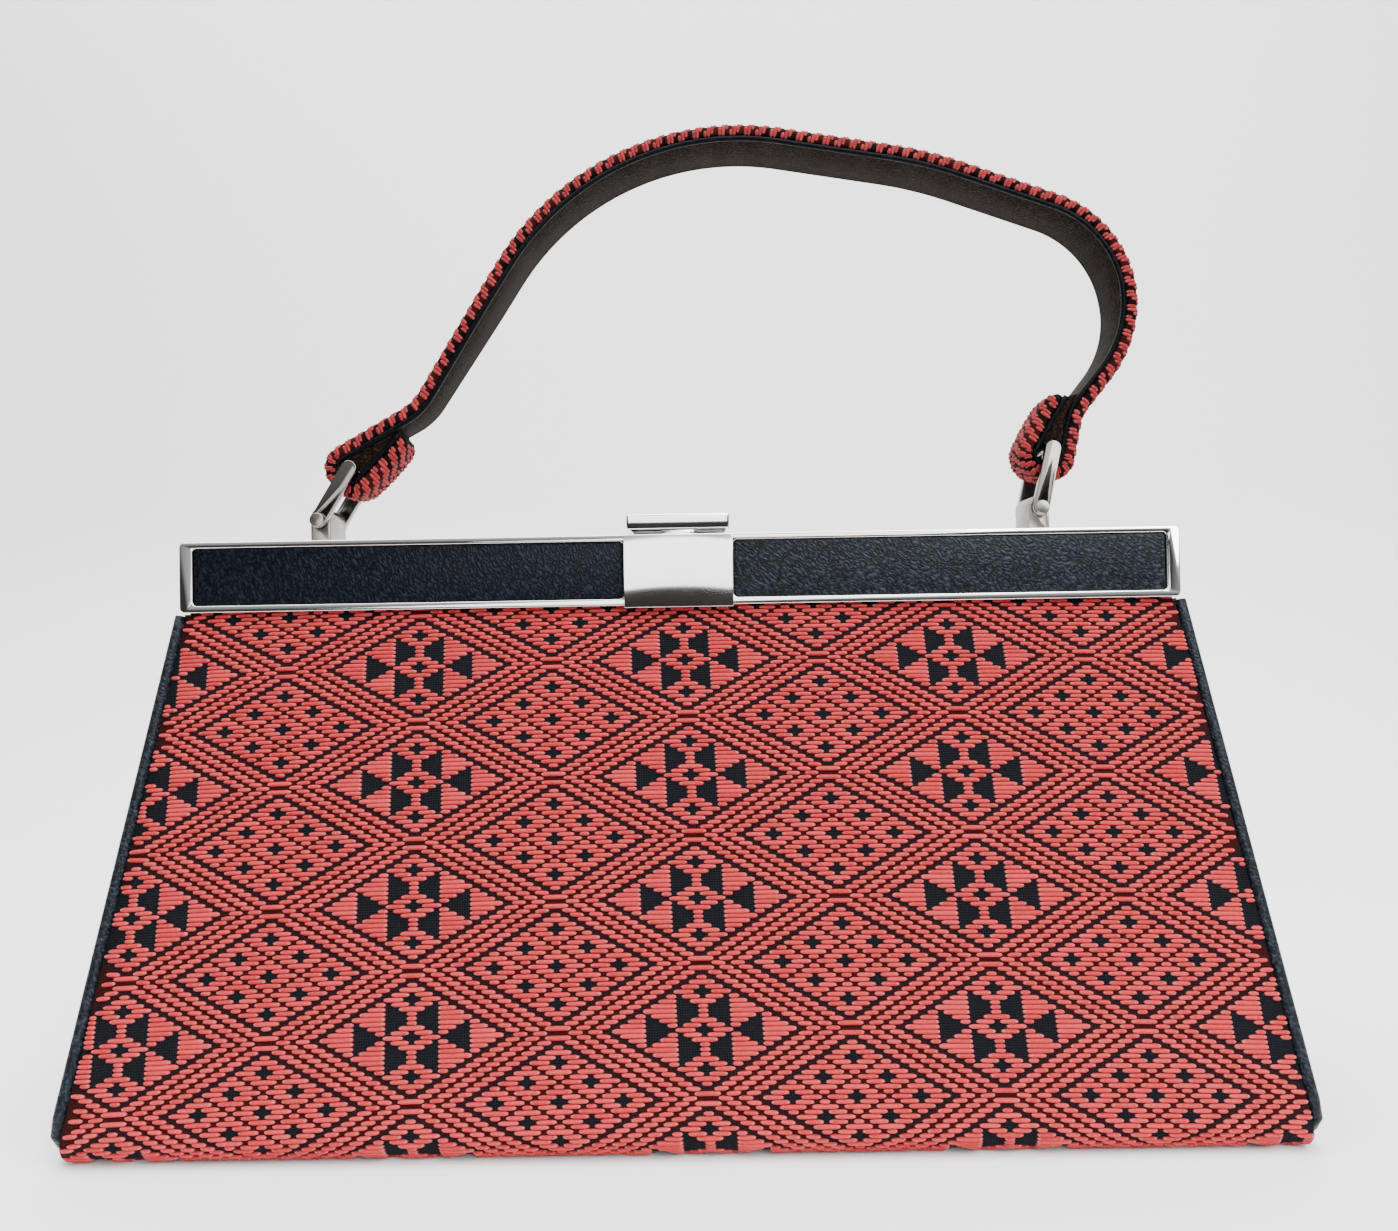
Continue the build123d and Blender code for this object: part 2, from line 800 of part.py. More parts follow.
with BuildPart() as strap_cover:
    with BuildSketch(strap_plane):
        with BuildLine():
            FilletPolyline(*strap_points, radius=strap_radii)
            offset(amount=strap_cloth, side=Side.RIGHT)
        make_face()
    extrude(amount=strap_width, both=True)
    with BuildSketch(Plane.YZ):
        add(strap_taper())
    extrude(amount=blank_half_length, both=True, mode=Mode.INTERSECT)

strap_cover.part.label = "strap_cover"
export_step(strap_cover.part, "parts/strap_cover.step")

with BuildPart() as strap_lining:
    with BuildSketch(strap_plane):
        with BuildLine():
            FilletPolyline(*strap_points, radius=strap_radii)
            offset(amount=strap_thickness, side=Side.RIGHT)
        make_face()
        with BuildLine():
            FilletPolyline(*strap_points, radius=strap_radii)
            offset(amount=strap_cloth + strap_glue_gap, side=Side.RIGHT)
        make_face(mode=Mode.SUBTRACT)
    extrude(amount=strap_width, both=True)
    with BuildSketch(Plane.YZ):
        add(strap_taper())
    extrude(amount=blank_half_length, both=True, mode=Mode.INTERSECT)

strap_lining.part.label = "strap_lining"
export_step(strap_lining.part, "parts/strap_lining.step")
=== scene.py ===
"""Looks of a framed handbag in counted-stitch cloth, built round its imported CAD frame.

Lengths in the classes are millimetres, as in the frame's source. Meshes are made in metres.
"""

from __future__ import annotations

import logging
import math
from dataclasses import dataclass, field, replace
from enum import Enum
from typing import Callable, Sequence

import bmesh
import bpy
import numpy as np
from mathutils import Matrix, Vector


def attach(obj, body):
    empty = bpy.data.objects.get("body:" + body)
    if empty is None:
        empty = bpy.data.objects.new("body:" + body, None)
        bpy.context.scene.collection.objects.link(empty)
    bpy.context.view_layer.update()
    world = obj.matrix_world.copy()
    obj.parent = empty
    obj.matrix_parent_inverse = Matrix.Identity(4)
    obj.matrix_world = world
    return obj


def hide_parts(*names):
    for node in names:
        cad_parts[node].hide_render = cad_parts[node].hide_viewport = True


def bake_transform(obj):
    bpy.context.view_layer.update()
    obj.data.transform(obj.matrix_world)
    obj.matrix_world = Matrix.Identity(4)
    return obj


MM = 0.001
MERGE_DISTANCE = 0.002
TOUCH_DISTANCE = 0.001
FLAT_ANGLE = math.radians(1.0)
SHARP_ANGLE = math.radians(35)
LOG = logging.getLogger("handbag")

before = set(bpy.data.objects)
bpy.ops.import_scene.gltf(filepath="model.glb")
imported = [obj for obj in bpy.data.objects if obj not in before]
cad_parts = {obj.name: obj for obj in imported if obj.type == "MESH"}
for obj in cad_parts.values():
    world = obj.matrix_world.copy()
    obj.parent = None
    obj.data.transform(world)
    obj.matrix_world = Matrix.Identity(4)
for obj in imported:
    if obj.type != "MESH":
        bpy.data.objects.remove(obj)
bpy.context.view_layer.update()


class Body(str, Enum):
    """Moving bodies of the frame."""

    BAG = "bag"
    FRONT_FRAME = "front_frame"
    CLASP_LEVER = "clasp_lever"
    LEFT_LINK = "left_link"
    RIGHT_LINK = "right_link"
    STRAP = "strap"


class Slot(str, Enum):
    """Material slots of the record."""

    GROUND = "ground_cloth"
    YARN = "stitch_yarn"
    STRAP = "strap_cloth"
    LEATHER = "dark_leather"
    BROWN = "brown_leather"
    LINING = "lining_cloth"
    BRIGHT = "bright_metal"
    STEEL = "plain_steel"


class Side(Enum):
    """Left and right of the bag, with the sign of X."""

    LEFT = -1
    RIGHT = 1

    @property
    def word(self) -> str:
        """The side as pieces are named for it."""
        return self.name.lower()


class Panel(Enum):
    """Stretches of the one cloth cover, in the order in which it runs."""

    FRONT_UPPER = "front_upper"
    FRONT_LOWER = "front_lower"
    BASE = "base"
    REAR_LOWER = "rear_lower"
    REAR_UPPER = "rear_upper"


class Value:
    """A number socket of a shader, with the operators that the finishes use."""

    def __init__(self, graph: Graph, socket: bpy.types.NodeSocket) -> None:
        """Keep the graph and the socket."""
        self.graph = graph
        self.socket = socket

    def _math(self, operation: str, first: Value | float, second: Value | float = 0.0) -> Value:
        """Add one Math node.

        Args:
            operation: The node's operation.
            first: Its first value.
            second: Its second value.

        Returns:
            The node's result.
        """
        node = self.graph.add("ShaderNodeMath", {"operation": operation}, {0: first, 1: second})
        return Value(self.graph, node.outputs[0])

    def __add__(self, other: Value | float) -> Value:
        """Sum."""
        return self._math("ADD", self, other)

    __radd__ = __add__

    def __sub__(self, other: Value | float) -> Value:
        """Difference."""
        return self._math("SUBTRACT", self, other)

    def __rsub__(self, other: float) -> Value:
        """Difference from a number."""
        return self._math("SUBTRACT", other, self)

    def __mul__(self, other: Value | float) -> Value:
        """Product."""
        return self._math("MULTIPLY", self, other)

    __rmul__ = __mul__

    def __pow__(self, other: float) -> Value:
        """Power."""
        return self._math("POWER", self, other)

    def __abs__(self) -> Value:
        """Size without sign."""
        return self._math("ABSOLUTE", self)

    def sine(self) -> Value:
        """Sine of an angle in radians."""
        return self._math("SINE", self)

    def smaller(self, other: Value) -> Value:
        """The smaller of two numbers."""
        return self._math("MINIMUM", self, other)

    def larger(self, other: Value) -> Value:
        """The larger of two numbers."""
        return self._math("MAXIMUM", self, other)

    def fold(self, half: float) -> Value:
        """Distance to the nearest multiple of twice a number."""
        return self._math("PINGPONG", self, half)


class Graph:
    """The node tree of a material or of the surround."""

    def __init__(self, owner: bpy.types.Material | bpy.types.World, shader: str) -> None:
        """Start with the output and one shader.

        Args:
            owner: What the tree belongs to.
            shader: Name of the shader's node.
        """
        owner.use_nodes = True
        self.owner = owner
        self.tree = owner.node_tree
        self.shader = self.tree.nodes[shader]

    @classmethod
    def of_material(cls, name: str) -> Graph:
        """Start a new material."""
        return cls(bpy.data.materials.new(name), "Principled BSDF")

    @classmethod
    def of_world(cls, name: str) -> Graph:
        """Start a new surround."""
        return cls(bpy.data.worlds.new(name), "Background")

    def add(self, kind: str, settings: dict[str, object], sockets: dict[object, object]) -> bpy.types.Node:
        """Add one node.

        Args:
            kind: The node's type.
            settings: Its properties, set first. A ramp's stops are pairs of place and colour.
            sockets: Values or links of its inputs, by name or number.

        Returns:
            The node.
        """
        node = self.tree.nodes.new(kind)
        for name, value in settings.items():
            if name == "stops":
                self._set_stops(node.color_ramp, value)
            else:
                setattr(node, name, value)
        for name, value in sockets.items():
            self.feed(node.inputs[name], value)
        return node

    @staticmethod
    def _set_stops(ramp: bpy.types.ColorRamp, stops: Sequence[tuple[float, Sequence[float]]]) -> None:
        """Give a ramp its stops.

        Args:
            ramp: The ramp.
            stops: Pairs of place and colour, in order.
        """
        while len(ramp.elements) < len(stops):
            ramp.elements.new(1.0)
        for element, (place, colour) in zip(ramp.elements, stops):
            element.position = place
            element.color = colour

    def feed(self, socket: bpy.types.NodeSocket, value: object) -> None:
        """Link a socket or set its value.

        Args:
            socket: The input.
            value: A Value, a socket, a number, a colour or a vector.
        """
        if isinstance(value, Value):
            self.tree.links.new(value.socket, socket)
        elif isinstance(value, bpy.types.NodeSocket):
            self.tree.links.new(value, socket)
        else:
            socket.default_value = value

    def attribute(self, name: str) -> Value:
        """A number that the mesh carries."""
        return Value(self, self.add("ShaderNodeAttribute", {"attribute_name": name}, {}).outputs["Fac"])

    def places(self) -> bpy.types.NodeSocket:
        """Object coordinates."""
        return self.add("ShaderNodeTexCoord", {}, {}).outputs["Object"]

    def scaled_places(
        self, scale: Sequence[float], turn: Sequence[float] = (0, 0, 0)
    ) -> bpy.types.NodeSocket:
        """Object coordinates along turned axes, scaled.

        Args:
            scale: Scale along each turned axis.
            turn: Turn of the axes about each axis, in radians.

        Returns:
            The mapped coordinates.
        """
        lengths = [1 / value for value in scale]
        sockets = {"Vector": self.places(), "Scale": lengths, "Rotation": turn}
        return self.add("ShaderNodeMapping", {"vector_type": "TEXTURE"}, sockets).outputs["Vector"]

    def noise(self, places: bpy.types.NodeSocket, scale: float, detail: float = 2.0) -> Value:
        """Soft noise.

        Args:
            places: Coordinates.
            scale: Scale of the noise.
            detail: Levels of detail.

        Returns:
            A number from 0 to 1.
        """
        sockets = {"Vector": places, "Scale": scale, "Detail": detail}
        return Value(self, self.add("ShaderNodeTexNoise", {}, sockets).outputs["Fac"])

    def mix(
        self,
        share: Value,
        first: Sequence[float] | bpy.types.NodeSocket,
        second: Sequence[float] | bpy.types.NodeSocket,
    ) -> bpy.types.NodeSocket:
        """Mix two colours.

        Args:
            share: Share of the second colour.
            first: The first colour, or its socket.
            second: The second colour, or its socket.

        Returns:
            The mixed colour.
        """
        node = self.add("ShaderNodeMix", {"data_type": "RGBA"}, {0: share, 6: first, 7: second})
        return node.outputs[2]

    def bump(self, height: Value, distance: float) -> None:
        """Raise the surface by a height.

        Args:
            height: The height, from 0 to 1.
            distance: What a height of 1 raises, in metres.
        """
        sockets = {"Height": height, "Distance": distance, "Strength": 1.0}
        node = self.add("ShaderNodeBump", {}, sockets)
        self.feed(self.shader.inputs["Normal"], node.outputs["Normal"])

    def surface(self, **sockets: object) -> bpy.types.Material | bpy.types.World:
        """Feed the shader.

        Args:
            **sockets: Values of the shader's inputs, with underscores for spaces.

        Returns:
            What the tree belongs to.
        """
        for name, value in sockets.items():
            self.feed(self.shader.inputs[name.replace("_", " ")], value)
        return self.owner


@dataclass(frozen=True)
class MetalFinish:
    """Plated or plain metal with faint smears."""

    name: str
    colour: tuple[float, float, float]
    roughness: float
    smear_scale: tuple[float, float, float] = (60, 60, 200)
    smear_share: float = 0.06

    def build(self) -> bpy.types.Material:
        """Make the material.

        Returns:
            The material.
        """
        graph = Graph.of_material(self.name)
        smears = graph.noise(graph.scaled_places(self.smear_scale), scale=1.0, detail=3.0)
        roughness = smears * self.smear_share + self.roughness
        return graph.surface(Base_Color=(*self.colour, 1), Metallic=1.0, Roughness=roughness)


@dataclass(frozen=True)
class LeatherFinish:
    """Leather with a grain of fine creases between soft swells: painted shade in the creases and painted
    highlight on the swells.
    """

    name: str
    colour: tuple[float, float, float]
    crest_highlight_colour: tuple[float, float, float]
    roughness: float
    grain_scale: float
    stretch: tuple[float, float, float]
    turn: tuple[float, float, float]
    depth: float
    gloss: float
    swell_height: float = 1.6
    soft_height: float = 0.5
    soft_scale: float = 0.4
    crest_share: float = 2.2

    def build(self) -> bpy.types.Material:
        """Make the material.

        Returns:
            The material.
        """
        graph = Graph.of_material(self.name)
        places = graph.scaled_places(self.stretch, self.turn)
        swells = abs(graph.noise(places, self.grain_scale, detail=1.0) * 2 - 1)
        soft = graph.noise(places, self.grain_scale * self.soft_scale)
        height = swells * self.swell_height + soft * self.soft_height
        # Painted shade in the creases and painted highlight on the swells: the swells mix the dark colour
        # towards the crest colour.
        colour = graph.mix(swells * self.crest_share, (*self.colour, 1), (*self.crest_highlight_colour, 1))
        graph.bump(height, self.depth)
        return graph.surface(Base_Color=colour, Roughness=self.roughness, Specular_IOR_Level=self.gloss)


@dataclass(frozen=True)
class WeaveFinish:
    """Plain dark weave under the floats, counted on the piece's own threads and rows.

    It shows plain in the triangles and dots of the lozenges and fades to dark red over their outlines.
    Elsewhere the red yarn runs close under its threads, darkened as painted shade. The plain weave's crests
    carry painted highlight and its dips painted shade.
    """

    name: str
    colour: tuple[float, float, float]
    crest_highlight_colour: tuple[float, float, float]
    shaded_yarn_colour: tuple[float, float, float]
    depth: float
    half_repeat: tuple[float, float]
    lozenge: float
    fading: float
    half_spread: tuple[float, float]
    dot: float
    thread_waves: float = 1.5
    row_waves: float = 1.75
    wave_height: float = 0.8
    fuzz_scale: float = 900.0
    fuzz_height: float = 0.3
    roughness: float = 0.85
    gloss: float = 0.08

    @staticmethod
    def _reach(thread: Value, row: Value, half: tuple[float, float]) -> Value:
        """Distance from the nearest middle of the lozenges of one size, along slanting lines."""
        return thread.fold(half[0]) + row.fold(half[1]) * 2

    def build(self) -> bpy.types.Material:
        """Make the material.

        Returns:
            The material.
        """
        graph = Graph.of_material(self.name)
        thread = graph.attribute("thread")
        row = graph.attribute("row")
        weft = (thread * (self.thread_waves * math.pi)).sine()
        warp = (row * (self.row_waves * math.pi)).sine()
        fuzz = graph.noise(graph.places(), self.fuzz_scale)
        height = abs(weft * warp) * self.wave_height + fuzz * self.fuzz_height
        # Painted highlight on the thread crests and painted shade in the dips between them.
        plain = graph.mix(height, (*self.colour, 1), (*self.crest_highlight_colour, 1))
        triangles = self._reach(thread, row, self.half_repeat)
        across = (thread + self.half_repeat[0]).fold(self.half_repeat[0])
        down = (row + self.half_repeat[1]).fold(self.half_repeat[1])
        dotted = across + down * 2
        corner = self._reach(across, down, self.half_spread)
        middle = self._reach(across + self.half_spread[0], down + self.half_spread[1], self.half_spread)
        beside_dots = (corner.smaller(middle) - self.dot).smaller(self.lozenge - dotted)
        past_dotted = (dotted - self.lozenge) * self.fading
        yarn = ((triangles - self.lozenge) * self.fading).smaller(past_dotted.larger(beside_dots))
        graph.bump(height, self.depth)
        # The red yarn under the threads, in a dark red that is painted shade.
        colour = graph.mix(yarn, plain, (*self.shaded_yarn_colour, 1))
        return graph.surface(Base_Color=colour, Roughness=self.roughness, Specular_IOR_Level=self.gloss)


@dataclass(frozen=True)
class YarnFinish:
    """Plump yarn: a little different from float to float, with painted highlight at the ends, painted shade
    down the sides and skirts, and fine strands.
    """

    name: str
    deep_colour: tuple[float, float, float]
    colour: tuple[float, float, float]
    pale_colour: tuple[float, float, float]
    side_shade_colour: tuple[float, float, float]
    strand_depth: float
    fuzz_scale: float = 1400.0
    end_paleness: float = 0.1
    end_fuzz: float = 0.9
    top_fuzz: float = 0.5
    strand_waves: float = 14.0
    strand_share: float = 0.5
    roughness: float = 0.75
    gloss: float = 0.15

    def build(self) -> bpy.types.Material:
        """Make the material.

        Returns:
            The material.
        """
        graph = Graph.of_material(self.name)
        tone = graph.attribute("tone")
        end = graph.attribute("end")
        shade = graph.attribute("shade")
        across = graph.attribute("across")
        body = graph.mix(tone, (*self.deep_colour, 1), (*self.colour, 1))
        fuzz = graph.noise(graph.places(), self.fuzz_scale)
        # Painted highlight at the float's ends, and pale flecks of fuzz at random over the rest.
        paleness = end * (fuzz * self.end_fuzz + self.end_paleness) + fuzz ** 3 * self.top_fuzz
        top = graph.mix(paleness, body, (*self.pale_colour, 1))
        # Painted shade down the float's sides and over its skirts, where the shade number is high.
        colour = graph.mix(shade, top, (*self.side_shade_colour, 1))
        strands = abs((across * self.strand_waves).sine())
        graph.bump(strands * self.strand_share + fuzz * (1 - self.strand_share), self.strand_depth)
        return graph.surface(Base_Color=colour, Roughness=self.roughness, Specular_IOR_Level=self.gloss)


@dataclass(frozen=True)
class PlainFinish:
    """One even colour, for the lining and the stage."""

    name: str
    colour: tuple[float, float, float]
    roughness: float

    def build(self) -> bpy.types.Material:
        """Make the material.

        Returns:
            The material.
        """
        return Graph.of_material(self.name).surface(Base_Color=(*self.colour, 1), Roughness=self.roughness)


Finish = MetalFinish | LeatherFinish | WeaveFinish | YarnFinish | PlainFinish

BRIGHT_METAL = MetalFinish("bright_metal", (0.86, 0.86, 0.84), 0.06)
# The lugs, rivets and links take darker metal than the frame: their dark base colours are painted dark
# reflections.
BRUSHED_METAL = MetalFinish("brushed_metal", (0.24, 0.22, 0.2), 0.26)
LINK_METAL = MetalFinish("link_metal", (0.18, 0.17, 0.16), 0.1)
PLAIN_STEEL = MetalFinish("plain_steel", (0.45, 0.45, 0.45), 0.3)
NAVY_LEATHER = LeatherFinish(
    name="navy_leather",
    colour=(0.0006, 0.001, 0.002),
    crest_highlight_colour=(0.013, 0.0195, 0.029),
    roughness=0.42,
    grain_scale=1000.0,
    stretch=(0.6, 1, 1.1),
    turn=(0, 0.6, 0),
    depth=0.0002,
    gloss=0.14,
)
# Copy of the navy leather for the left inlay, with its grain turned steeper and its crests and gloss dimmed
# as painted shade.
STEEP_SHADED_LEATHER = replace(
    NAVY_LEATHER, name="steep_shaded_leather", turn=(0, 1.15, 0), crest_highlight_colour=(0.006, 0.0105, 0.018), gloss=0.07
)
# Darker, duller copy of the navy leather for the strap's rolled edges: painted shade.
ROLL_LEATHER = replace(
    NAVY_LEATHER, name="roll_leather", crest_highlight_colour=(0.002, 0.003, 0.005), depth=0.0001, gloss=0.05
)
BROWN_LEATHER = LeatherFinish(
    name="brown_leather",
    colour=(0.0015, 0.0009, 0.0006),
    crest_highlight_colour=(0.021, 0.012, 0.0075),
    roughness=0.6,
    grain_scale=1000.0,
    stretch=(1, 1, 1),
    turn=(0, 0, 0),
    depth=0.00015,
    gloss=0.02,
)
GROUND_WEAVE = WeaveFinish(
    name="ground_weave",
    colour=(0.001, 0.0012, 0.002),
    crest_highlight_colour=(0.008, 0.0088, 0.0125),
    shaded_yarn_colour=(0.026, 0.003, 0.003),
    depth=0.00025,
    half_repeat=(37.0, 14.0),
    lozenge=22.5,
    fading=0.2,
    half_spread=(8.0, 4.0),
    dot=3.0,
)
STRAP_WEAVE = replace(
    GROUND_WEAVE, name="strap_weave", colour=(0.003, 0.0008, 0.001), crest_highlight_colour=(0.006, 0.0012, 0.0014)
)
# Its pale colour is the painted highlight at the floats' ends and its side colour the painted shade down
# their sides.
CORAL_YARN = YarnFinish(
    name="coral_yarn",
    deep_colour=(0.37, 0.015, 0.018),
    colour=(0.475, 0.031, 0.037),
    pale_colour=(0.58, 0.165, 0.165),
    side_shade_colour=(0.04, 0.004, 0.004),
    strand_depth=0.0001,
)
# Darker copy of the coral yarn for the strap: painted shade.
SHADED_STRAP_YARN = replace(
    CORAL_YARN,
    name="shaded_strap_yarn",
    deep_colour=(0.2, 0.01, 0.012),
    colour=(0.32, 0.022, 0.024),
    pale_colour=(0.4, 0.1, 0.1),
)
LINING_CLOTH = PlainFinish("lining_cloth", (0.02, 0.02, 0.025), 0.9)
PALE_STAGE = PlainFinish("pale_stage", (0.86, 0.86, 0.85), 0.7)


def linked(name: str, data: bpy.types.ID) -> bpy.types.Object:
    """Add an object to the scene.

    Args:
        name: The object's name.
        data: Its mesh, light or camera.

    Returns:
        The object.
    """
    thing = bpy.data.objects.new(name, data)
    bpy.context.scene.collection.objects.link(thing)
    return thing


def finished_mesh(name: str, bm: bmesh.types.BMesh, smooth: bool) -> bpy.types.Mesh:
    """Turn a bmesh into a mesh.

    Args:
        name: The mesh's name.
        bm: The bmesh, which is freed.
        smooth: Whether its faces are smooth.

    Returns:
        The mesh.
    """
    mesh = bpy.data.meshes.new(name)
    bm.to_mesh(mesh)
    bm.free()
    mesh.polygons.foreach_set("use_smooth", [smooth] * len(mesh.polygons))
    return mesh


def unit_grid(across: int, along: int) -> tuple[bmesh.types.BMesh, np.ndarray]:
    """Start a bmesh from a flat grid.

    Args:
        across: Faces along X.
        along: Faces along Y.

    Returns:
        The bmesh and the places of its vertices, from -1 to 1.
    """
    bm = bmesh.new()
    bmesh.ops.create_grid(bm, x_segments=across, y_segments=along, size=1.0)
    bm.verts.ensure_lookup_table()
    return bm, np.array([vert.co.xy for vert in bm.verts])


def lay_out(bm: bmesh.types.BMesh, points: np.ndarray) -> None:
    """Move the vertices of a bmesh to points in millimetres."""
    for vert, point in zip(bm.verts, points * MM):
        vert.co = point


def count_threads(bm: bmesh.types.BMesh, threads: np.ndarray, rows: np.ndarray) -> None:
    """Give every vertex its counted place in the weave.

    Args:
        bm: The cloth.
        threads: Threads across.
        rows: Rows down.
    """
    thread = bm.verts.layers.float.new("thread")
    row = bm.verts.layers.float.new("row")
    for vert, across, down in zip(bm.verts, threads, rows):
        vert[thread] = across
        vert[row] = down


def extruded(made: dict[str, list]) -> list[bmesh.types.BMVert]:
    """The vertices that an extrusion made."""
    return [item for item in made["geom"] if isinstance(item, bmesh.types.BMVert)]


class Finishes:
    """Materials, each made once."""

    def __init__(self) -> None:
        """Start with none."""
        self._made: dict[str, bpy.types.Material] = {}

    def get(self, finish: Finish) -> bpy.types.Material:
        """The material of a finish.

        Args:
            finish: One of the finish dataclasses.

        Returns:
            Its material.
        """
        if finish.name not in self._made:
            self._made[finish.name] = finish.build()
        return self._made[finish.name]


class Workshop:
    """Turns bmeshes into finished pieces on the frame."""

    def __init__(self) -> None:
        """Start with no pieces."""
        self.finishes = Finishes()
        self.count = 0

    def piece(
        self, name: str, bm: bmesh.types.BMesh, finish: Finish, slot: Slot, smooth: bool = True
    ) -> bpy.types.Object:
        """Make an object at the origin from a bmesh.

        Args:
            name: The piece's name.
            bm: Its mesh, which is freed.
            finish: Its finish.
            slot: Not used.
            smooth: Whether its faces are smooth.

        Returns:
            The object.
        """
        return self.mesh_piece(name, finished_mesh(name, bm, smooth), finish)

    def mesh_piece(self, name: str, mesh: bpy.types.Mesh, finish: Finish) -> bpy.types.Object:
        """Make an object at the origin from a mesh.

        Args:
            name: The piece's name.
            mesh: Its mesh.
            finish: Its finish.

        Returns:
            The object.
        """
        mesh.materials.clear()
        mesh.materials.append(self.finishes.get(finish))
        piece = linked(name, mesh)
        self.count += 1
        LOG.info("%s: %d faces", name, len(mesh.polygons))
        return piece

    def merged_copy(self, node: str) -> bmesh.types.BMesh:
        """A copy of a CAD node's mesh, with its triangles joined into flat faces.

        Args:
            node: The node's name.

        Returns:
            The copy.
        """
        bm = bmesh.new()
        bm.from_mesh(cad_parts[node].data)
        bmesh.ops.remove_doubles(bm, verts=bm.verts, dist=MERGE_DISTANCE * MM)
        bmesh.ops.dissolve_limit(
            bm,
            angle_limit=FLAT_ANGLE,
            use_dissolve_boundaries=False,
            verts=bm.verts,
            edges=bm.edges,
            delimit=set(),
        )
        return bm

    @staticmethod
    def slice(bm: bmesh.types.BMesh, place: Sequence[float], normal: Sequence[float]) -> None:
        """Add edges where a plane crosses a mesh, so that it can bend there.

        Args:
            bm: The mesh.
            place: A point of the plane, in millimetres.
            normal: The plane's normal.
        """
        bmesh.ops.bisect_plane(
            bm,
            geom=bm.verts[:] + bm.edges[:] + bm.faces[:],
            dist=TOUCH_DISTANCE * MM,
            plane_co=Vector(place) * MM,
            plane_no=normal,
        )

    @staticmethod
    def cord(spots: Sequence[Matrix], radius: float, segments: int) -> bmesh.types.BMesh:
        """A round cord through a row of places.

        Args:
            spots: For each ring its place and turn, with the cord's direction as the third axis.
            radius: Radius of the cord, in millimetres.
            segments: Sides of a ring.

        Returns:
            The cord, closed at both ends.
        """
        bm = bmesh.new()
        loops = []
        for spot in spots:
            ring = bmesh.ops.create_circle(
                bm, cap_ends=False, segments=segments, radius=radius * MM, matrix=spot
            )
            loops.append({edge for vert in ring["verts"] for edge in vert.link_edges})
        for first, second in zip(loops, loops[1:]):
            bmesh.ops.bridge_loops(bm, edges=list(first | second))
        bmesh.ops.holes_fill(bm, edges=list(loops[0] | loops[-1]), sides=0)
        bmesh.ops.recalc_face_normals(bm, faces=bm.faces)
        return bm

    def softened(
        self, node: str, body: Body, finish: Finish, slot: Slot, radius: float
    ) -> bpy.types.Object:
        """Replace a rigid node by a copy with its sharp edges rounded.

        Args:
            node: The node's name.
            body: The body that it rides on.
            finish: Its finish.
            slot: Not used.
            radius: Width of the rounding, in millimetres.

        Returns:
            The piece.
        """
        piece = self.piece(f"{node}_finished", self.merged_copy(node), finish, slot)
        self.round_edges(piece, radius)
        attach(piece, body.value)
        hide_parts(node)
        return piece

    @staticmethod
    def round_edges(piece: bpy.types.Object, radius: float) -> None:
        """Round the sharp edges of a piece.

        Args:
            piece: The piece.
            radius: Width of the rounding, in millimetres.
        """
        bevel = piece.modifiers.new("edges", "BEVEL")
        bevel.width = radius * MM
        bevel.segments = 2
        bevel.limit_method = "ANGLE"
        bevel.angle_limit = SHARP_ANGLE
        bevel.harden_normals = True

    def dress(self, node: str, finish: Finish) -> None:
        """Give a CAD node its finish where it stays as it is.

        Args:
            node: The node's name.
            finish: Its finish.
        """
        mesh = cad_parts[node].data
        mesh.materials.clear()
        mesh.materials.append(self.finishes.get(finish))


@dataclass
class ArcPath:
    """A flat line of straight runs with rounded corners, measured along its length."""

    points: Sequence[tuple[float, float]]
    radii: Sequence[float]
    runs: list[tuple] = field(default_factory=list)
    length: float = 0.0

    def __post_init__(self) -> None:
        """Work out the straight runs and the arcs between them."""
        corners = [Vector(point) for point in self.points]
        start = corners[0]
        for before, corner, after, radius in zip(corners, corners[1:], corners[2:], self.radii):
            inward = (corner - before).normalized()
            onward = (after - corner).normalized()
            turn = math.atan2(inward.x * onward.y - inward.y * onward.x, inward.dot(onward))
            setback = radius * math.tan(abs(turn) / 2)
            arc_start = corner - inward * setback
            self._add(("line", start, inward), (arc_start - start).length)
            side = Vector((-inward.y, inward.x)) * math.copysign(1, turn)
            bend = math.copysign(1 / radius, turn)
            self._add(("arc", arc_start + side * radius, -side * radius, bend), radius * abs(turn))
            start = corner + onward * setback
        self._add(("line", start, (corners[-1] - start).normalized()), (corners[-1] - start).length)

    def _add(self, run: tuple, length: float) -> None:
        """Add a run of a length to the end of the line."""
        self.runs.append((self.length, run))
        self.length += length

    def at(self, along: np.ndarray) -> tuple[np.ndarray, np.ndarray]:
        """Points and left-hand normals along the line.

        Args:
            along: Distances from the start.

        Returns:
            Points and normals, one row for each distance.
        """
        points = np.zeros((len(along), 2))
        normals = np.zeros((len(along), 2))
        starts = np.array([start for start, _ in self.runs])
        owner = np.clip(np.searchsorted(starts, along, side="right") - 1, 0, len(self.runs) - 1)
        for number, (start, run) in enumerate(self.runs):
            chosen = owner == number
            distance = along[chosen] - start
            if run[0] == "line":
                _, origin, direction = run
                points[chosen] = np.array(origin) + distance[:, None] * np.array(direction)
                normals[chosen] = (-direction.y, direction.x)
            else:
                _, centre, spoke, bend = run
                angle = distance * bend
                turned_x = spoke.x * np.cos(angle) - spoke.y * np.sin(angle)
                turned_y = spoke.x * np.sin(angle) + spoke.y * np.cos(angle)
                turned = np.stack((turned_x, turned_y), axis=1)
                points[chosen] = np.array(centre) + turned
                normals[chosen] = -turned * bend
        return points, normals


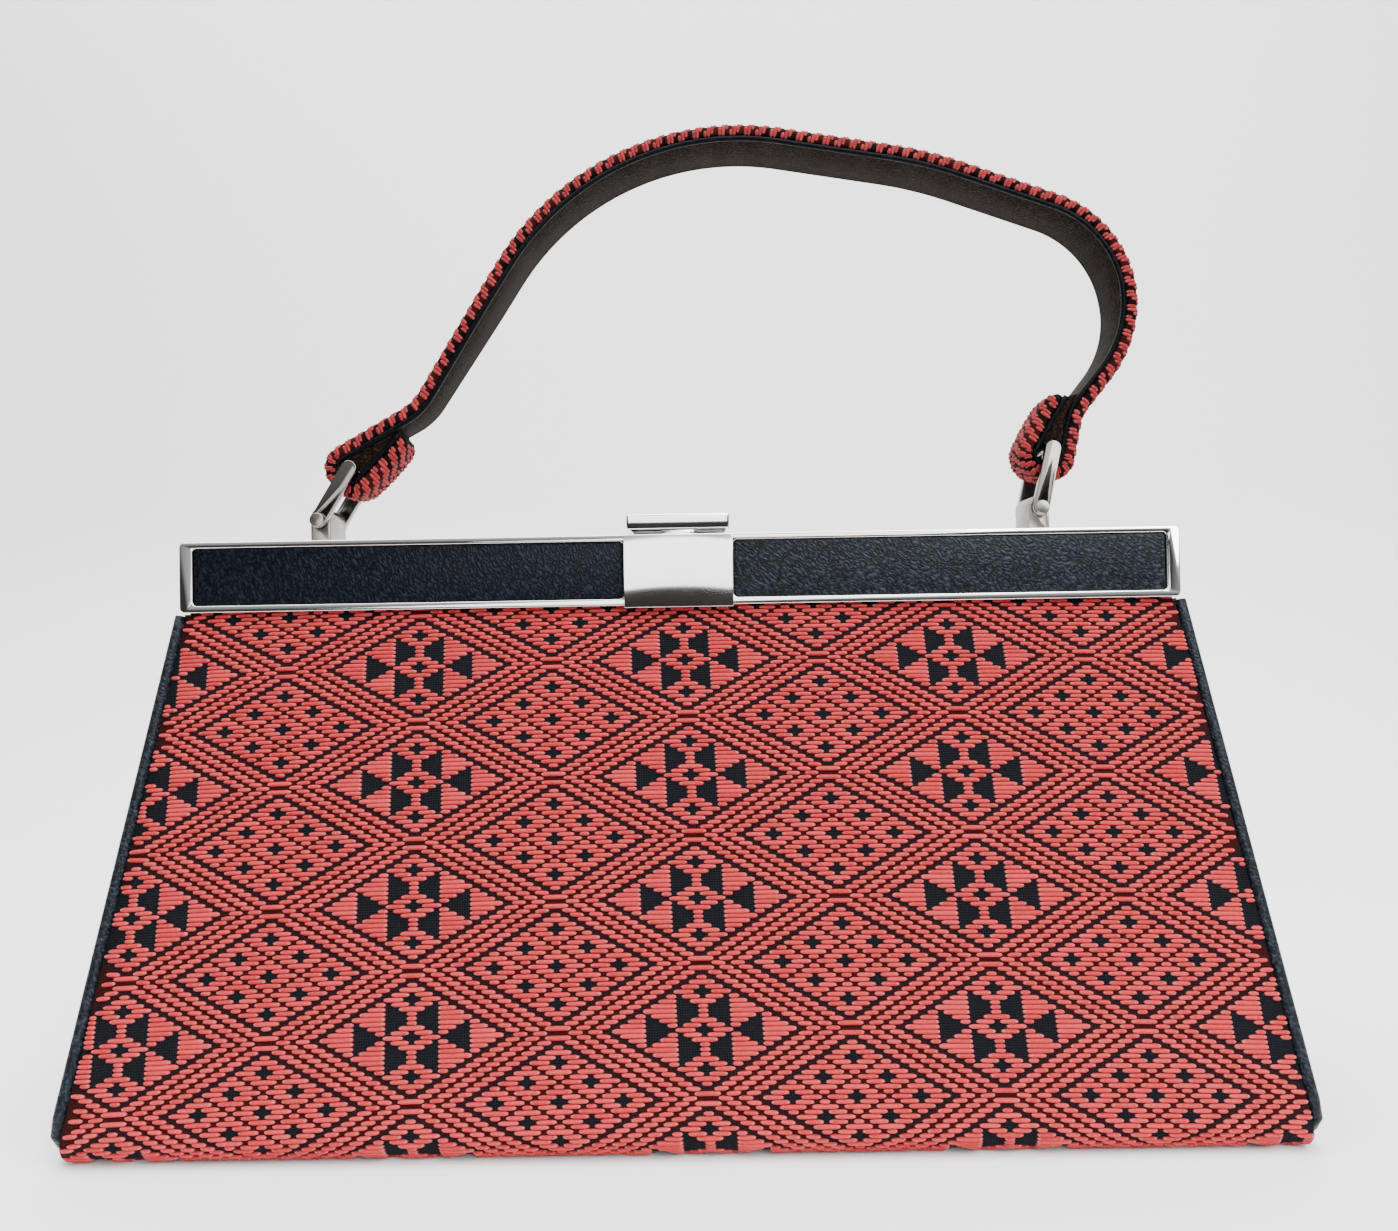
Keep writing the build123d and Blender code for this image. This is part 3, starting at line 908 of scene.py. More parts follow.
@dataclass
class StitchChart:
    """The counted pattern: lozenges with dots or triangles, set in bands of slanting lines.

    The repeat is counted in threads across and rows down. Lozenges with triangles stand at the repeat's
    corners, and lozenges with dots at its middle.
    """

    thread: float = 0.914
    row: float = 1.052
    repeat_threads: int = 74
    repeat_rows: int = 28
    lozenge: int = 23
    ring_starts: tuple[int, int, int] = (3, 6, 8)
    sub_lozenge: int = 7
    spread_threads: int = 8
    spread_rows: int = 4
    dot_halves: tuple[float, float] = (2.5, 1.0)
    triangle_end: int = 15
    shortest_float: float = 3.0
    cell: float = 0.25

    def stitched(self, threads: np.ndarray, row: int) -> np.ndarray:
        """Where yarn lies on top of the ground in one row.

        Args:
            threads: Places along the row, in threads from a lozenge's middle.
            row: The row, counted from that middle.

        Returns:
            True where there is yarn.
        """
        (across_a, down_a, reach_a), (across_b, down_b, reach_b) = self._from_middles(threads, row)
        reach = np.minimum(reach_a, reach_b)
        first, second, third = self.ring_starts
        bands = ((reach >= first) & (reach < second)) | (reach >= third)
        bands = self._without_short(bands & (reach >= 0))
        inside_a = self._with_triangles(np.abs(across_a), abs(down_a))
        inside_b = self._with_dots(np.abs(across_b), abs(down_b))
        return np.where(reach_a < 0, inside_a, np.where(reach_b < 0, inside_b, bands))

    def _from_middles(
        self, threads: np.ndarray | float, row: int
    ) -> list[tuple[np.ndarray | float, float, np.ndarray | float]]:
        """Measure from the nearest lozenge with triangles and the nearest one with dots.

        Args:
            threads: Places along the row, in threads from a lozenge's middle.
            row: The row, counted from that middle.

        Returns:
            For each of the two the threads and rows from its middle and the distance past its edge.
        """
        half_threads = self.repeat_threads / 2
        half_rows = self.repeat_rows / 2
        found = []
        for shift, drop in ((0, 0), (half_threads, half_rows)):
            across = (threads + shift + half_threads) % self.repeat_threads - half_threads
            down = (row + drop + half_rows) % self.repeat_rows - half_rows
            found.append((across, down, np.abs(across) + 2 * abs(down) - self.lozenge))
        return found

    def lean(self, thread: float, row: int) -> float:
        """Which way a float leans.

        Args:
            thread: The float's middle, in threads from a lozenge's middle.
            row: The row, counted from that middle.

        Returns:
            1 for down to the right and -1 for up, along the lines of its band, and 0 in a lozenge.
        """
        across, down, reach = min(self._from_middles(thread, row), key=lambda found: found[2])
        return 0.0 if reach < 0 else -float(np.sign(across * down))

    def _without_short(self, yarn: np.ndarray) -> np.ndarray:
        """Leave out floats that are too short to stitch.

        Args:
            yarn: Where there is yarn in a row.

        Returns:
            The same row without them.
        """
        kept = yarn.copy()
        for start, end in self.runs(yarn):
            if (end - start) * self.cell < self.shortest_float - self.cell / 2:
                kept[start:end] = False
        return kept

    def _small(self, across: np.ndarray, down: float) -> np.ndarray:
        """Yarn of one small lozenge with its dark dot, from the distances to its middle."""
        dot = self.dot_halves[int(down)] if down < len(self.dot_halves) else 0.0
        return (across < self.sub_lozenge - 2 * down) & (across >= dot)

    def _with_dots(self, across: np.ndarray, down: float) -> np.ndarray:
        """Yarn in a lozenge of nine small ones.

        Args:
            across: Threads from its middle, without sign.
            down: Rows from its middle, without sign.

        Returns:
            True where there is yarn.
        """
        yarn = np.zeros(across.shape, bool)
        for column in range(3):
            for line in range(3):
                if (column + line) % 2 == 0 and column + line <= 2:
                    shift = np.abs(across - column * self.spread_threads)
                    yarn |= self._small(shift, abs(down - line * self.spread_rows))
        return yarn

    def _with_triangles(self, across: np.ndarray, down: float) -> np.ndarray:
        """Yarn in a lozenge with dark triangles round three small lozenges.

        Args:
            across: Threads from its middle, without sign.
            down: Rows from its middle, without sign.

        Returns:
            True where there is yarn.
        """
        middle = self._small(across, down) | self._small(across, abs(down - 2 * self.spread_rows))
        if down == self.spread_rows:
            middle |= across < 1
        wing = across < self.triangle_end - 2 * abs(down - self.spread_rows)
        tip = across >= self.triangle_end
        return np.where(across < self.sub_lozenge, middle, np.where(tip, True, wing))

    @staticmethod
    def runs(yarn: np.ndarray) -> list[tuple[int, int]]:
        """Stretches of yarn in a row, as the first cell and the one after the last."""
        edges = np.flatnonzero(np.diff(np.concatenate(([0], yarn.astype(np.int8), [0]))))
        return list(zip(edges[0::2], edges[1::2]))

    def floats(self, row: int, low: float, high: float, offset: float) -> list[tuple[float, float, float]]:
        """Floats of one row between two places.

        Args:
            row: The row, counted from a lozenge's middle.
            low: The lower end of the row, in millimetres.
            high: The upper end of the row, in millimetres.
            offset: Place of that lozenge's middle, in millimetres.

        Returns:
            The two ends of each float, in millimetres, and which way it leans.
        """
        step = self.cell * self.thread
        first = math.floor((low - offset) / step)
        last = math.ceil((high - offset) / step)
        threads = (np.arange(first, last) + 0.5) * self.cell
        found = []
        for start, end in self.runs(self.stitched(threads, row)):
            left = max(offset + (first + start) * step, low)
            right = min(offset + (first + end) * step, high)
            if right - left > self.thread:
                found.append((left, right, self.lean((2 * first + start + end) / 2 * self.cell, row)))
        return found


@dataclass
class SlantChart(StitchChart):
    """The strap's counted pattern: slanting dark lines that meet along its middle."""

    line_spacing: float = 3.5
    line_width: float = 1.3
    rows_per_thread: float = 0.55

    def stitched(self, threads: np.ndarray, row: int) -> np.ndarray:
        """Where yarn lies on top of the ground in one row.

        Args:
            threads: Places along the row, in threads from the strap's middle.
            row: The row.

        Returns:
            True where there is yarn.
        """
        return (row + self.rows_per_thread * np.abs(threads)) % self.line_spacing >= self.line_width

    def lean(self, thread: float, row: int) -> float:
        """Which way a float leans: all alike."""
        return 1.0


@dataclass
class FloatShape:
    """The plump shape of one yarn float, as a small grid that is laid out for each float.

    Along the float the grid's stations are a skirt at the ground, a cap and the body between the caps.
    """

    height: float = 0.6
    root: float = -0.1
    half_width: float = 0.54
    widening: float = 0.1
    grain_half: float = 2.2
    end_length: float = 0.7
    end_share: float = 0.4
    end_height: float = 0.55
    end_width: float = 0.66
    skirt: float = 0.4
    skirt_width: float = 0.35
    lift_range: tuple[float, float] = (0.88, 1.1)
    overlap: float = 0.05
    slant: float = 0.26
    segments: int = 5
    around: int = 4
    side_shade: float = 0.8
    fading: float = 0.45

    def template(self) -> tuple[np.ndarray, np.ndarray]:
        """The grid of one float.

        Returns:
            Its places, along and across from -1 to 1, and its faces.
        """
        bm, places = unit_grid(self.segments, self.around)
        faces = np.array([[vert.index for vert in face.verts] for face in bm.faces])
        bm.free()
        return places, faces

    @staticmethod
    def _by_rank(
        rank: np.ndarray, skirt: np.ndarray | float, cap: np.ndarray | float, body: np.ndarray | float
    ) -> np.ndarray:
        """Each station's number, chosen from those of the skirt, the caps and the body."""
        return np.where(rank == 0, skirt, np.where(rank == 1, cap, body))

    def build(
        self,
        name: str,
        floats: Sequence[tuple[float, float, float, float]],
        place: Callable[[np.ndarray, np.ndarray, np.ndarray], np.ndarray],
        pitch: float,
        seed: int,
    ) -> bpy.types.Mesh:
        """Lay out many floats on a surface.

        Args:
            name: The mesh's name.
            floats: For each float its two ends along its row, the row's place and which way it leans.
            place: Gives points in millimetres from places along and across the rows and heights.
            pitch: Distance between the rows.
            seed: Seed of the small differences between floats.

        Returns:
            The mesh, with the numbers that its finish reads.
        """
        chosen = np.random.default_rng(seed)
        grid, quads = self.template()
        ends = np.array(floats)
        total = len(ends)
        station = np.rint((grid[:, 0] + 1) / 2 * self.segments)
        rank = np.minimum(station, self.segments - station)
        inner = (2 * station - self.segments) / (self.segments - 4)
        sign = np.sign(grid[:, 0])
        half = ((ends[:, 1] - ends[:, 0]) / 2 + self.overlap)[:, None]
        body = half - np.minimum(self.end_length, half * self.end_share)
        reach = self._by_rank(rank, sign * (half + self.skirt), sign * half, inner * body)
        lean = ends[:, 3:4] * self.slant * pitch * np.minimum(half / self.grain_half, 1.0) / 2
        rise = self._by_rank(rank, 0.0, self.end_height, 1.0)
        lift = chosen.uniform(*self.lift_range, (total, 1))
        angle = grid[:, 1] * (math.pi / 2)
        closeness = np.clip(half / self.grain_half - 1, 0, 1)
        narrowing = self._by_rank(rank, self.skirt_width, self.end_width, 1.0)
        width = pitch * (self.half_width + self.widening * closeness) * narrowing
        side_shade = (self.side_shade - self.fading * closeness) * np.abs(grid[:, 1]) ** 3
        along = (ends[:, 0:1] + ends[:, 1:2]) / 2 + reach
        across = ends[:, 2:3] + np.sin(angle) * width + reach / half * lean
        height = self.root + (self.height * lift - self.root) * rise * np.cos(angle)
        points = place(along.ravel(), across.ravel(), height.ravel()) * MM
        faces = (quads[None] + (np.arange(total) * len(grid))[:, None, None]).reshape(-1, 4)
        mesh = bpy.data.meshes.new(name)
        mesh.from_pydata(points.tolist(), [], faces.tolist())
        mesh.polygons.foreach_set("use_smooth", [True] * len(mesh.polygons))
        # Numbers for the finish: a random tone, the caps where it paints highlight, the painted shade on the
        # sides and skirts, and the place across.
        numbers = {
            "tone": np.repeat(chosen.uniform(0.0, 1.0, total), len(grid)),
            "end": np.tile(np.where(rank == 1, 1.0, 0.0), total),
            "shade": np.maximum(rank == 0, side_shade).ravel(),
            "across": np.tile(grid[:, 1], total),
        }
        for title, values in numbers.items():
            layer = mesh.attributes.new(title, "FLOAT", "POINT")
            layer.data.foreach_set("value", values.astype(np.float32))
        mesh.update()
        return mesh


@dataclass
class BagShell:
    """The cloth cover: down the front, under the base and up the rear, with its seams, sides and lining."""

    rim: float = 126.8
    panel_half_depth: float = 14.65
    base_half_depth: float = 51.0
    edge_radius: float = 6.0
    cover_thickness: float = 2.0
    seam_half_rim: float = 129.3
    base_flare: float = 14.7
    piping_radius: float = 1.5
    piping_inset: float = 0.9
    piping_base_rise: float = 4.2
    piping_corner_radius: float = 5.0
    piping_end_drop: float = 0.9
    piping_rings: int = 90
    piping_sides: int = 14
    seam_gap: float = 0.15
    hem: float = 3.0
    hem_inset: float = 3.0
    ground_grid: tuple[int, int] = (64, 150)
    side_cuts: float = 6.0
    side_reach: float = 45.0
    crown: float = 1.3
    crown_lowering: float = 1.15
    motif_offset: float = 1.3
    first_motif: float = 14.7
    grain_slant: float = 0.04
    droop: float = 1.9
    droop_left: float = 0.7
    blend_depth: float = 14.0
    chart: StitchChart = field(default_factory=StitchChart)
    shape: FloatShape = field(default_factory=FloatShape)

    def __post_init__(self) -> None:
        """Work out the profile's lean, runs and lengths."""
        self.slope = (self.base_half_depth - self.panel_half_depth) / self.rim
        self.lean = math.atan(self.slope)
        self.turn = math.pi / 2 + self.lean
        setback = self.edge_radius * math.tan(self.turn / 2)
        self.flat = self.rim / math.cos(self.lean) - setback
        self.arc = self.edge_radius * self.turn
        self.base_half = self.base_half_depth - setback
        self.half_length = self.flat + self.arc + self.base_half

    def profile(self, down: np.ndarray) -> tuple[np.ndarray, np.ndarray]:
        """Points and outward normals of the cover's outside in the YZ plane.

        Args:
            down: Distances along the cloth from the front rim.

        Returns:
            Points and normals as Y and Z.
        """
        mirrored = down > self.half_length
        near = np.where(mirrored, 2 * self.half_length - down, down)
        on_flat = near <= self.flat
        on_arc = ~on_flat & (near <= self.flat + self.arc)
        angle = math.pi - self.lean + np.clip(near - self.flat, 0, self.arc) / self.edge_radius
        flat_y = -self.panel_half_depth - near * math.sin(self.lean)
        flat_z = self.rim - near * math.cos(self.lean)
        arc_y = -self.base_half + self.edge_radius * np.cos(angle)
        arc_z = self.edge_radius + self.edge_radius * np.sin(angle)
        base_y = -self.base_half + (near - self.flat - self.arc)
        y = np.where(on_flat, flat_y, np.where(on_arc, arc_y, base_y))
        z = np.where(on_flat, flat_z, np.where(on_arc, arc_z, 0.0))
        normal_y = np.where(on_flat, -math.cos(self.lean), np.where(on_arc, np.cos(angle), 0.0))
        normal_z = np.where(on_flat, math.sin(self.lean), np.where(on_arc, np.sin(angle), -1.0))
        flip = np.where(mirrored, -1.0, 1.0)
        points = np.stack((y * flip, z), axis=1)
        return points, np.stack((normal_y * flip, normal_z), axis=1)

    def seam_at(self, height: np.ndarray | float) -> np.ndarray | float:
        """Distance of the side seams from the middle at some heights."""
        return self.seam_half_rim + self.base_flare * (1 - height / self.rim)

    def cloth_half_at(self, down: np.ndarray) -> np.ndarray:
        """Half the length of the cloth at places along it, up to the piping."""
        height = self.profile(down)[0][:, 1]
        return self.seam_at(height) - self.piping_radius - self.seam_gap

    def swell(self, x: np.ndarray, down: np.ndarray) -> np.ndarray:
        """How far the cloth stands out: soft on the panels, drawn in at the seams, and flush under the base.

        Args:
            x: Places across the bag.
            down: Places along the cloth.

        Returns:
            Distances along the outward normal.
        """
        near = np.minimum(down, 2 * self.half_length - down)
        share = np.clip(near / self.flat, 0, 1)
        side = np.clip(1 - (x / self.cloth_half_at(down)) ** 4, 0, 1)
        soft = self.crown * np.sin(math.pi * share ** self.crown_lowering) * side
        under = np.clip((near - self.flat) / self.arc, 0, 1)
        return soft - self.shape.height * under * under * (3 - 2 * under)

    def place(self, x: np.ndarray, down: np.ndarray, height: np.ndarray) -> np.ndarray:
        """Points over the cloth.

        Args:
            x: Places across the bag.
            down: Places along the cloth from the front rim.
            height: Heights over the ground cloth.

        Returns:
            Points in millimetres.
        """
        points, normals = self.profile(down)
        out = points + normals * (height + self.swell(x, down))[:, None]
        return np.stack((x, out[:, 0], out[:, 1]), axis=1)

    def droop_at(self, x: np.ndarray | float) -> np.ndarray | float:
        """How far the cloth's rows hang lower than a level row, most at the left seam."""
        share = x / self.seam_half_rim
        return self.droop * share * share - self.droop_left * share

    def place_stitch(self, x: np.ndarray, down: np.ndarray, height: np.ndarray) -> np.ndarray:
        """Points over the cloth, as place gives them, on its drooping rows."""
        return self.place(x, down + self.droop_at(x), height)

    def floats(self, panel: Panel) -> list[tuple[float, float, float, float]]:
        """Floats of one panel.

        Args:
            panel: The stretch of the cover.

        Returns:
            The two ends of each float, its row's place along the cloth and which way it leans.
        """
        bend = self.flat + self.arc / 2
        whole = 2 * self.half_length
        stops = (0.0, self.flat / 2, bend, whole - bend, whole - self.flat / 2, whole)
        low, high = dict(zip(Panel, zip(stops, stops[1:])))[panel]
        pitch = self.chart.row
        most = self.droop + self.droop_left
        first = math.floor((low - self.first_motif - most) / pitch)
        last = math.ceil((high - self.first_motif + most) / pitch)
        found = []
        for row in range(first, last):
            down = self.first_motif + row * pitch
            half = float(self.cloth_half_at(np.clip(np.array([down]), 0, whole))[0])
            offset = self.motif_offset + self.grain_slant * row * pitch
            for left, right, lean in self.chart.floats(row, -half, half, offset):
                if low <= down + self.droop_at((left + right) / 2) + pitch / 2 < high:
                    found.append((left, right, down, lean))
        return found

    def follow_frame(self, piece: bpy.types.Object) -> None:
        """Bake a soft piece's place and turn into its mesh.

        Args:
            piece: The piece.
        """
        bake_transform(piece)

    def build_ground(self, shop: Workshop) -> None:
        """Make the dark ground cloth on its backing.

        Args:
            shop: The workshop that makes the pieces.
        """
        bm, grid = unit_grid(*self.ground_grid)
        down = (grid[:, 1] + 1) * self.half_length
        stretched = down + grid[:, 1] * self.hem
        x = grid[:, 0] * self.cloth_half_at(np.clip(stretched, 0, 2 * self.half_length))
        beyond = (stretched < 0) | (stretched > 2 * self.half_length)
        x = np.where(beyond, grid[:, 0] * (self.seam_half_rim - self.hem_inset), x)
        lay_out(bm, self.place(x, stretched, np.zeros(len(x))))
        bmesh.ops.reverse_faces(bm, faces=bm.faces)
        bm.normal_update()
        below = stretched - self.first_motif - self.droop_at(x)
        threads = (x - self.motif_offset - self.grain_slant * below) / self.chart.thread
        count_threads(bm, threads, below / self.chart.row)
        bmesh.ops.solidify(bm, geom=bm.faces, thickness=self.cover_thickness * MM)
        piece = shop.piece("ground_cloth", bm, GROUND_WEAVE, Slot.GROUND)
        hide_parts("body_cover")
        self.follow_frame(piece)

    def build_stitching(self, shop: Workshop) -> None:
        """Lay the coral floats over the ground, panel by panel.

        Args:
            shop: The workshop that makes the pieces.
        """
        stands_for = {
            Panel.FRONT_UPPER: "front_stitching",
            Panel.FRONT_LOWER: "front_stitching",
            Panel.REAR_LOWER: "rear_stitching",
            Panel.REAR_UPPER: "rear_stitching",
        }
        for number, panel in enumerate(Panel):
            name = f"{panel.value}_floats"
            mesh = self.shape.build(name, self.floats(panel), self.place_stitch, self.chart.row, number)
            piece = shop.mesh_piece(name, mesh, CORAL_YARN)
            if panel in stands_for:
                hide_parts(stands_for[panel])
            self.follow_frame(piece)

    def build_piping(self, shop: Workshop) -> None:
        """Make the leather cords in the side seams.

        Args:
            shop: The workshop that makes the pieces.
        """
        top = self.rim - self.piping_end_drop
        half_top = self.base_half_depth - self.slope * top - self.piping_inset
        half_base = self.base_half_depth - self.slope * self.piping_base_rise - self.piping_inset
        stretch = math.hypot(1, self.base_flare / self.rim)
        path = ArcPath(
            (
                (-half_top, top * stretch),
                (-half_base, self.piping_base_rise * stretch),
                (half_base, self.piping_base_rise * stretch),
                (half_top, top * stretch),
            ),
            (self.piping_corner_radius, self.piping_corner_radius),
        )
        points, normals = path.at(np.linspace(0, path.length, self.piping_rings))
        for side in Side:
            spots = []
            for (y, up), (normal_y, normal_up) in zip(points, normals):
                height = up / stretch
                x = side.value * float(self.seam_at(height))
                rise = normal_up / stretch
                inward = -side.value * rise * self.base_flare / self.rim
                across = Vector((inward, normal_y, rise)).normalized()
                outward = Vector((side.value, 0, self.base_flare / self.rim)).normalized()
                turn = Matrix((across, outward, across.cross(outward))).transposed().to_4x4()
                spots.append(Matrix.Translation(Vector((x, y, height)) * MM) @ turn)
            name = f"piping_{side.word}"
            bm = shop.cord(spots, self.piping_radius, self.piping_sides)
            piece = shop.piece(f"{name}_cord", bm, NAVY_LEATHER, Slot.LEATHER)
            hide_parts(name)
            self.follow_frame(piece)

    def build_sides(self, shop: Workshop) -> None:
        """Make copies of the gussets and the lining, cut into bands across and along.

        Args:
            shop: The workshop that makes the pieces.
        """
        finishes = {
            "gusset_left": (NAVY_LEATHER, Slot.LEATHER),
            "gusset_right": (NAVY_LEATHER, Slot.LEATHER),
            "lining": (LINING_CLOTH, Slot.LINING),
        }
        for node, (finish, slot) in finishes.items():
            bm = shop.merged_copy(node)
            for height in np.arange(self.side_cuts, self.rim + self.hem, self.side_cuts):
                shop.slice(bm, (0, 0, height), (0, 0, 1))
            for y in np.arange(-self.side_reach, self.side_reach + 1, self.side_cuts):
                shop.slice(bm, (0, y, 0), (0, 1, 0))
            piece = shop.piece(f"{node}_soft", bm, finish, slot, smooth=False)
            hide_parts(node)
            self.follow_frame(piece)


@dataclass
class FrameMetal:
    """The hinged metal frame with its leather inlays, clasp and handle fittings."""

    frame_edge: float = 0.7
    edge: float = 0.35
    small_edge: float = 0.2
    inlay_edge: float = 0.45
    plate_width: float = 28.0
    plate_back: float = -17.0
    plate_edge: float = 0.8
    plate_bulge: float = 0.9
    plate_base: float = 126.2
    plate_top: float = 145.0
    plate_twist: float = 0.2
    plate_grid: tuple[int, int] = (16, 24)
    spring_foot: tuple[float, float] = (12.4, 145.2)
    spring_tip: tuple[float, float] = (8.9, 148.8)
    spring_cuts: int = 9

    def build_plate(self, shop: Workshop) -> None:
        """Make the clasp's convex plate, a little flatter towards its sides.

        Args:
            shop: The workshop that makes the pieces.
        """
        bm, grid = unit_grid(*self.plate_grid)
        rim = [edge for edge in bm.edges if edge.is_boundary]
        across, up = grid.T
        depth = self.plate_edge + self.plate_bulge * (1 - up * up) - self.plate_twist * up * across * across
        middle = (self.plate_base + self.plate_top) / 2
        half = (self.plate_top - self.plate_base) / 2
        columns = (across * self.plate_width / 2, self.plate_back - depth, middle + up * half)
        lay_out(bm, np.stack(columns, axis=1))
        for vert in extruded(bmesh.ops.extrude_edge_only(bm, edges=rim)):
            vert.co.y = self.plate_back * MM
        bmesh.ops.holes_fill(bm, edges=[edge for edge in bm.edges if edge.is_boundary], sides=0)
        bmesh.ops.recalc_face_normals(bm, faces=bm.faces)
        plate = shop.piece("clasp_plate_finished", bm, BRIGHT_METAL, Slot.BRIGHT)
        shop.round_edges(plate, self.small_edge)
        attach(plate, Body.FRONT_FRAME.value)
        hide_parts("clasp_plate")

    def build_spring(self, shop: Workshop) -> None:
        """Make a copy of the leaf spring under the lever's tail, cut across along its length.

        Args:
            shop: The workshop that makes the pieces.
        """
        bm = shop.merged_copy("clasp_spring")
        for y in np.linspace(self.spring_tip[0], self.spring_foot[0], self.spring_cuts):
            shop.slice(bm, (0, y, 0), (0, 1, 0))
        spring = shop.piece("clasp_spring_leaf", bm, PLAIN_STEEL, Slot.STEEL, smooth=False)
        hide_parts("clasp_spring")
        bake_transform(spring)

    def build(self, shop: Workshop) -> None:
        """Dress every rigid piece.

        Args:
            shop: The workshop that makes the pieces.
        """
        bright = {
            "front_frame": (Body.FRONT_FRAME, self.frame_edge),
            "rear_frame": (Body.BAG, self.frame_edge),
            "clasp_lever": (Body.CLASP_LEVER, self.small_edge),
            "catch_tongue": (Body.FRONT_FRAME, self.small_edge),
        }
        for node, (body, radius) in bright.items():
            shop.softened(node, body, BRIGHT_METAL, Slot.BRIGHT, radius)
        self.build_plate(shop)
        # The links, lugs and rivets take the darker metals, whose colours are painted dark reflections.
        shop.softened("link_left", Body.LEFT_LINK, LINK_METAL, Slot.BRIGHT, self.edge)
        shop.softened("link_right", Body.RIGHT_LINK, LINK_METAL, Slot.BRIGHT, self.edge)
        for side in Side:
            for kind, radius in (("handle_lug", self.edge), ("link_rivet", self.small_edge)):
                shop.softened(f"{kind}_{side.word}", Body.BAG, BRUSHED_METAL, Slot.BRIGHT, radius)
        leather = {
            "inlay_left": (Body.FRONT_FRAME, STEEP_SHADED_LEATHER),
            "inlay_right": (Body.FRONT_FRAME, NAVY_LEATHER),
            "rear_inlay": (Body.BAG, NAVY_LEATHER),
        }
        for node, (body, finish) in leather.items():
            shop.softened(node, body, finish, Slot.LEATHER, self.inlay_edge)
        self.build_spring(shop)
        shop.dress("clasp_pin", PLAIN_STEEL)
        for kind in ("front_arm", "rear_arm", "hinge_rivet"):
            for side in Side:
                shop.dress(f"{kind}_{side.word}", PLAIN_STEEL)
        shop.dress("clasp_bracket", BRIGHT_METAL)


@dataclass
class HandleStrap:
    """The strap: stitched cloth over its outside and edges, leather inside, folded round both links."""

    middle: float = 8.5
    pin_height: float = 152.0
    pin_spacing: float = 98.5
    link_length: float = 16.5
    left_lean: float = 31.4
    right_lean: float = 12.5
    cloth: float = 4.0
    leather: float = 1.2
    end_width: float = 12.6
    width: float = 18.0
    taper_start: float = 20.0
    taper_end: float = 62.0
    fold_gap: float = 0.35
    loop_radius: float = 1.6
    left_angle: float = 29.0
    left_gap: float = 3.2
    left_reach: float = 2.6
    left_tab_gap: float = 2.5
    left_tab: float = 17.5
    left_knee: float = 23.5
    right_angle: float = 79.0
    right_gap: float = 2.8
    right_reach: float = 3.0
    right_tab_gap: float = 3.2
    right_tab: float = 16.6
    right_knee: float = 11.0
    crown: tuple[float, float] = (-21.1, 114.9)
    shoulder: tuple[float, float] = (70.0, 99.5)
    bend: tuple[float, float] = (148.3, 71.2)
    knee_radii: tuple[float, float, float, float, float] = (14.0, 78.0, 120.0, 33.0, 10.0)
    edge_radius: float = 1.5
    yarn_inset: float = 0.55
    tip_length: float = 5.0
    tip_drop: float = 1.7
    tip_narrowing: float = 0.2
    tab_length: float = 22.0
    tab_plumpness: float = 0.7
    leather_gap: float = 0.5
    roll_radius: float = 0.7
    roll_rings: int = 280
    roll_sides: int = 10
    lining_share: float = 0.92
    lining_edge: float = 0.3
    bar_room: float = 2.4
    filler_steps: int = 10
    ground_grid: tuple[int, int] = (24, 260)
    ground_share: float = 0.8
    seed: int = 11
    chart: SlantChart = field(default_factory=SlantChart)
    shape: FloatShape = field(default_factory=lambda: FloatShape(height=0.34, segments=9, slant=0.4))

    def __post_init__(self) -> None:
        """Work out the strap's outer line."""
        thick = self.cloth + self.leather
        left = self._bar(-1, self.left_lean)
        right = self._bar(1, self.right_lean)
        tab_end = self.left_gap - self.fold_gap - thick
        tab_middle = -(self.left_tab_gap + thick)
        reach = self.left_reach + thick
        tab_turn = tab_middle - (tab_end - tab_middle) / self.left_tab * reach
        far_end = self.fold_gap + thick - self.right_gap
        far_middle = self.right_tab_gap + thick
        far_reach = self.right_reach + thick
        far_turn = far_middle + (far_middle - far_end) / self.right_tab * far_reach
        points = (
            self._beside(left, self.left_angle, self.left_tab, tab_end),
            self._beside(left, self.left_angle, -reach, tab_turn),
            self._beside(left, self.left_angle, -reach, self.left_gap + thick),
            self._beside(left, self.left_angle, self.left_knee, self.left_gap + thick),
            *((x, self.pin_height + rise) for x, rise in (self.crown, self.shoulder, self.bend)),
            self._beside(right, self.right_angle, self.right_knee, -(self.right_gap + thick)),
            self._beside(right, self.right_angle, -far_reach, -(self.right_gap + thick)),
            self._beside(right, self.right_angle, -far_reach, far_turn),
            self._beside(right, self.right_angle, self.right_tab, far_end),
        )
        loop = (self.loop_radius + thick,) * 2
        self.path = ArcPath(points, (*loop, *self.knee_radii, *loop))

    def _bar(self, side: int, lean: float) -> tuple[float, float]:
        """The middle of a link's bar in the XZ plane.

        Args:
            side: Sign of X of the link's pin.
            lean: The link's lean, in degrees.

        Returns:
            X and Z.
        """
        turn = math.radians(lean)
        return (
            side * self.pin_spacing + self.link_length * math.sin(turn),
            self.pin_height + self.link_length * math.cos(turn),
        )

    @staticmethod
    def _beside(bar: tuple[float, float], angle: float, along: float, across: float) -> tuple[float, float]:
        """A point beside a bar.

        Args:
            bar: The bar's middle.
            angle: The strap's direction there, in degrees.
            along: Distance along that direction.
            across: Distance across it.

        Returns:
            X and Z.
        """
        turn = math.radians(angle)
        return (
            bar[0] + along * math.cos(turn) - across * math.sin(turn),
            bar[1] + along * math.sin(turn) + across * math.cos(turn),
        )

    def width_at(self, height: np.ndarray) -> np.ndarray:
        """Width of the strap at some heights: narrow at the links and wide in the hand."""
        share = (height - self.pin_height - self.taper_start) / (self.taper_end - self.taper_start)
        return self.end_width + (self.width - self.end_width) * np.clip(share, 0, 1)

    def cloth_width_at(self, height: np.ndarray) -> np.ndarray:
        """Width of the ground cloth under the yarn at some heights."""
        return self.width_at(height) - 2 * self.yarn_inset

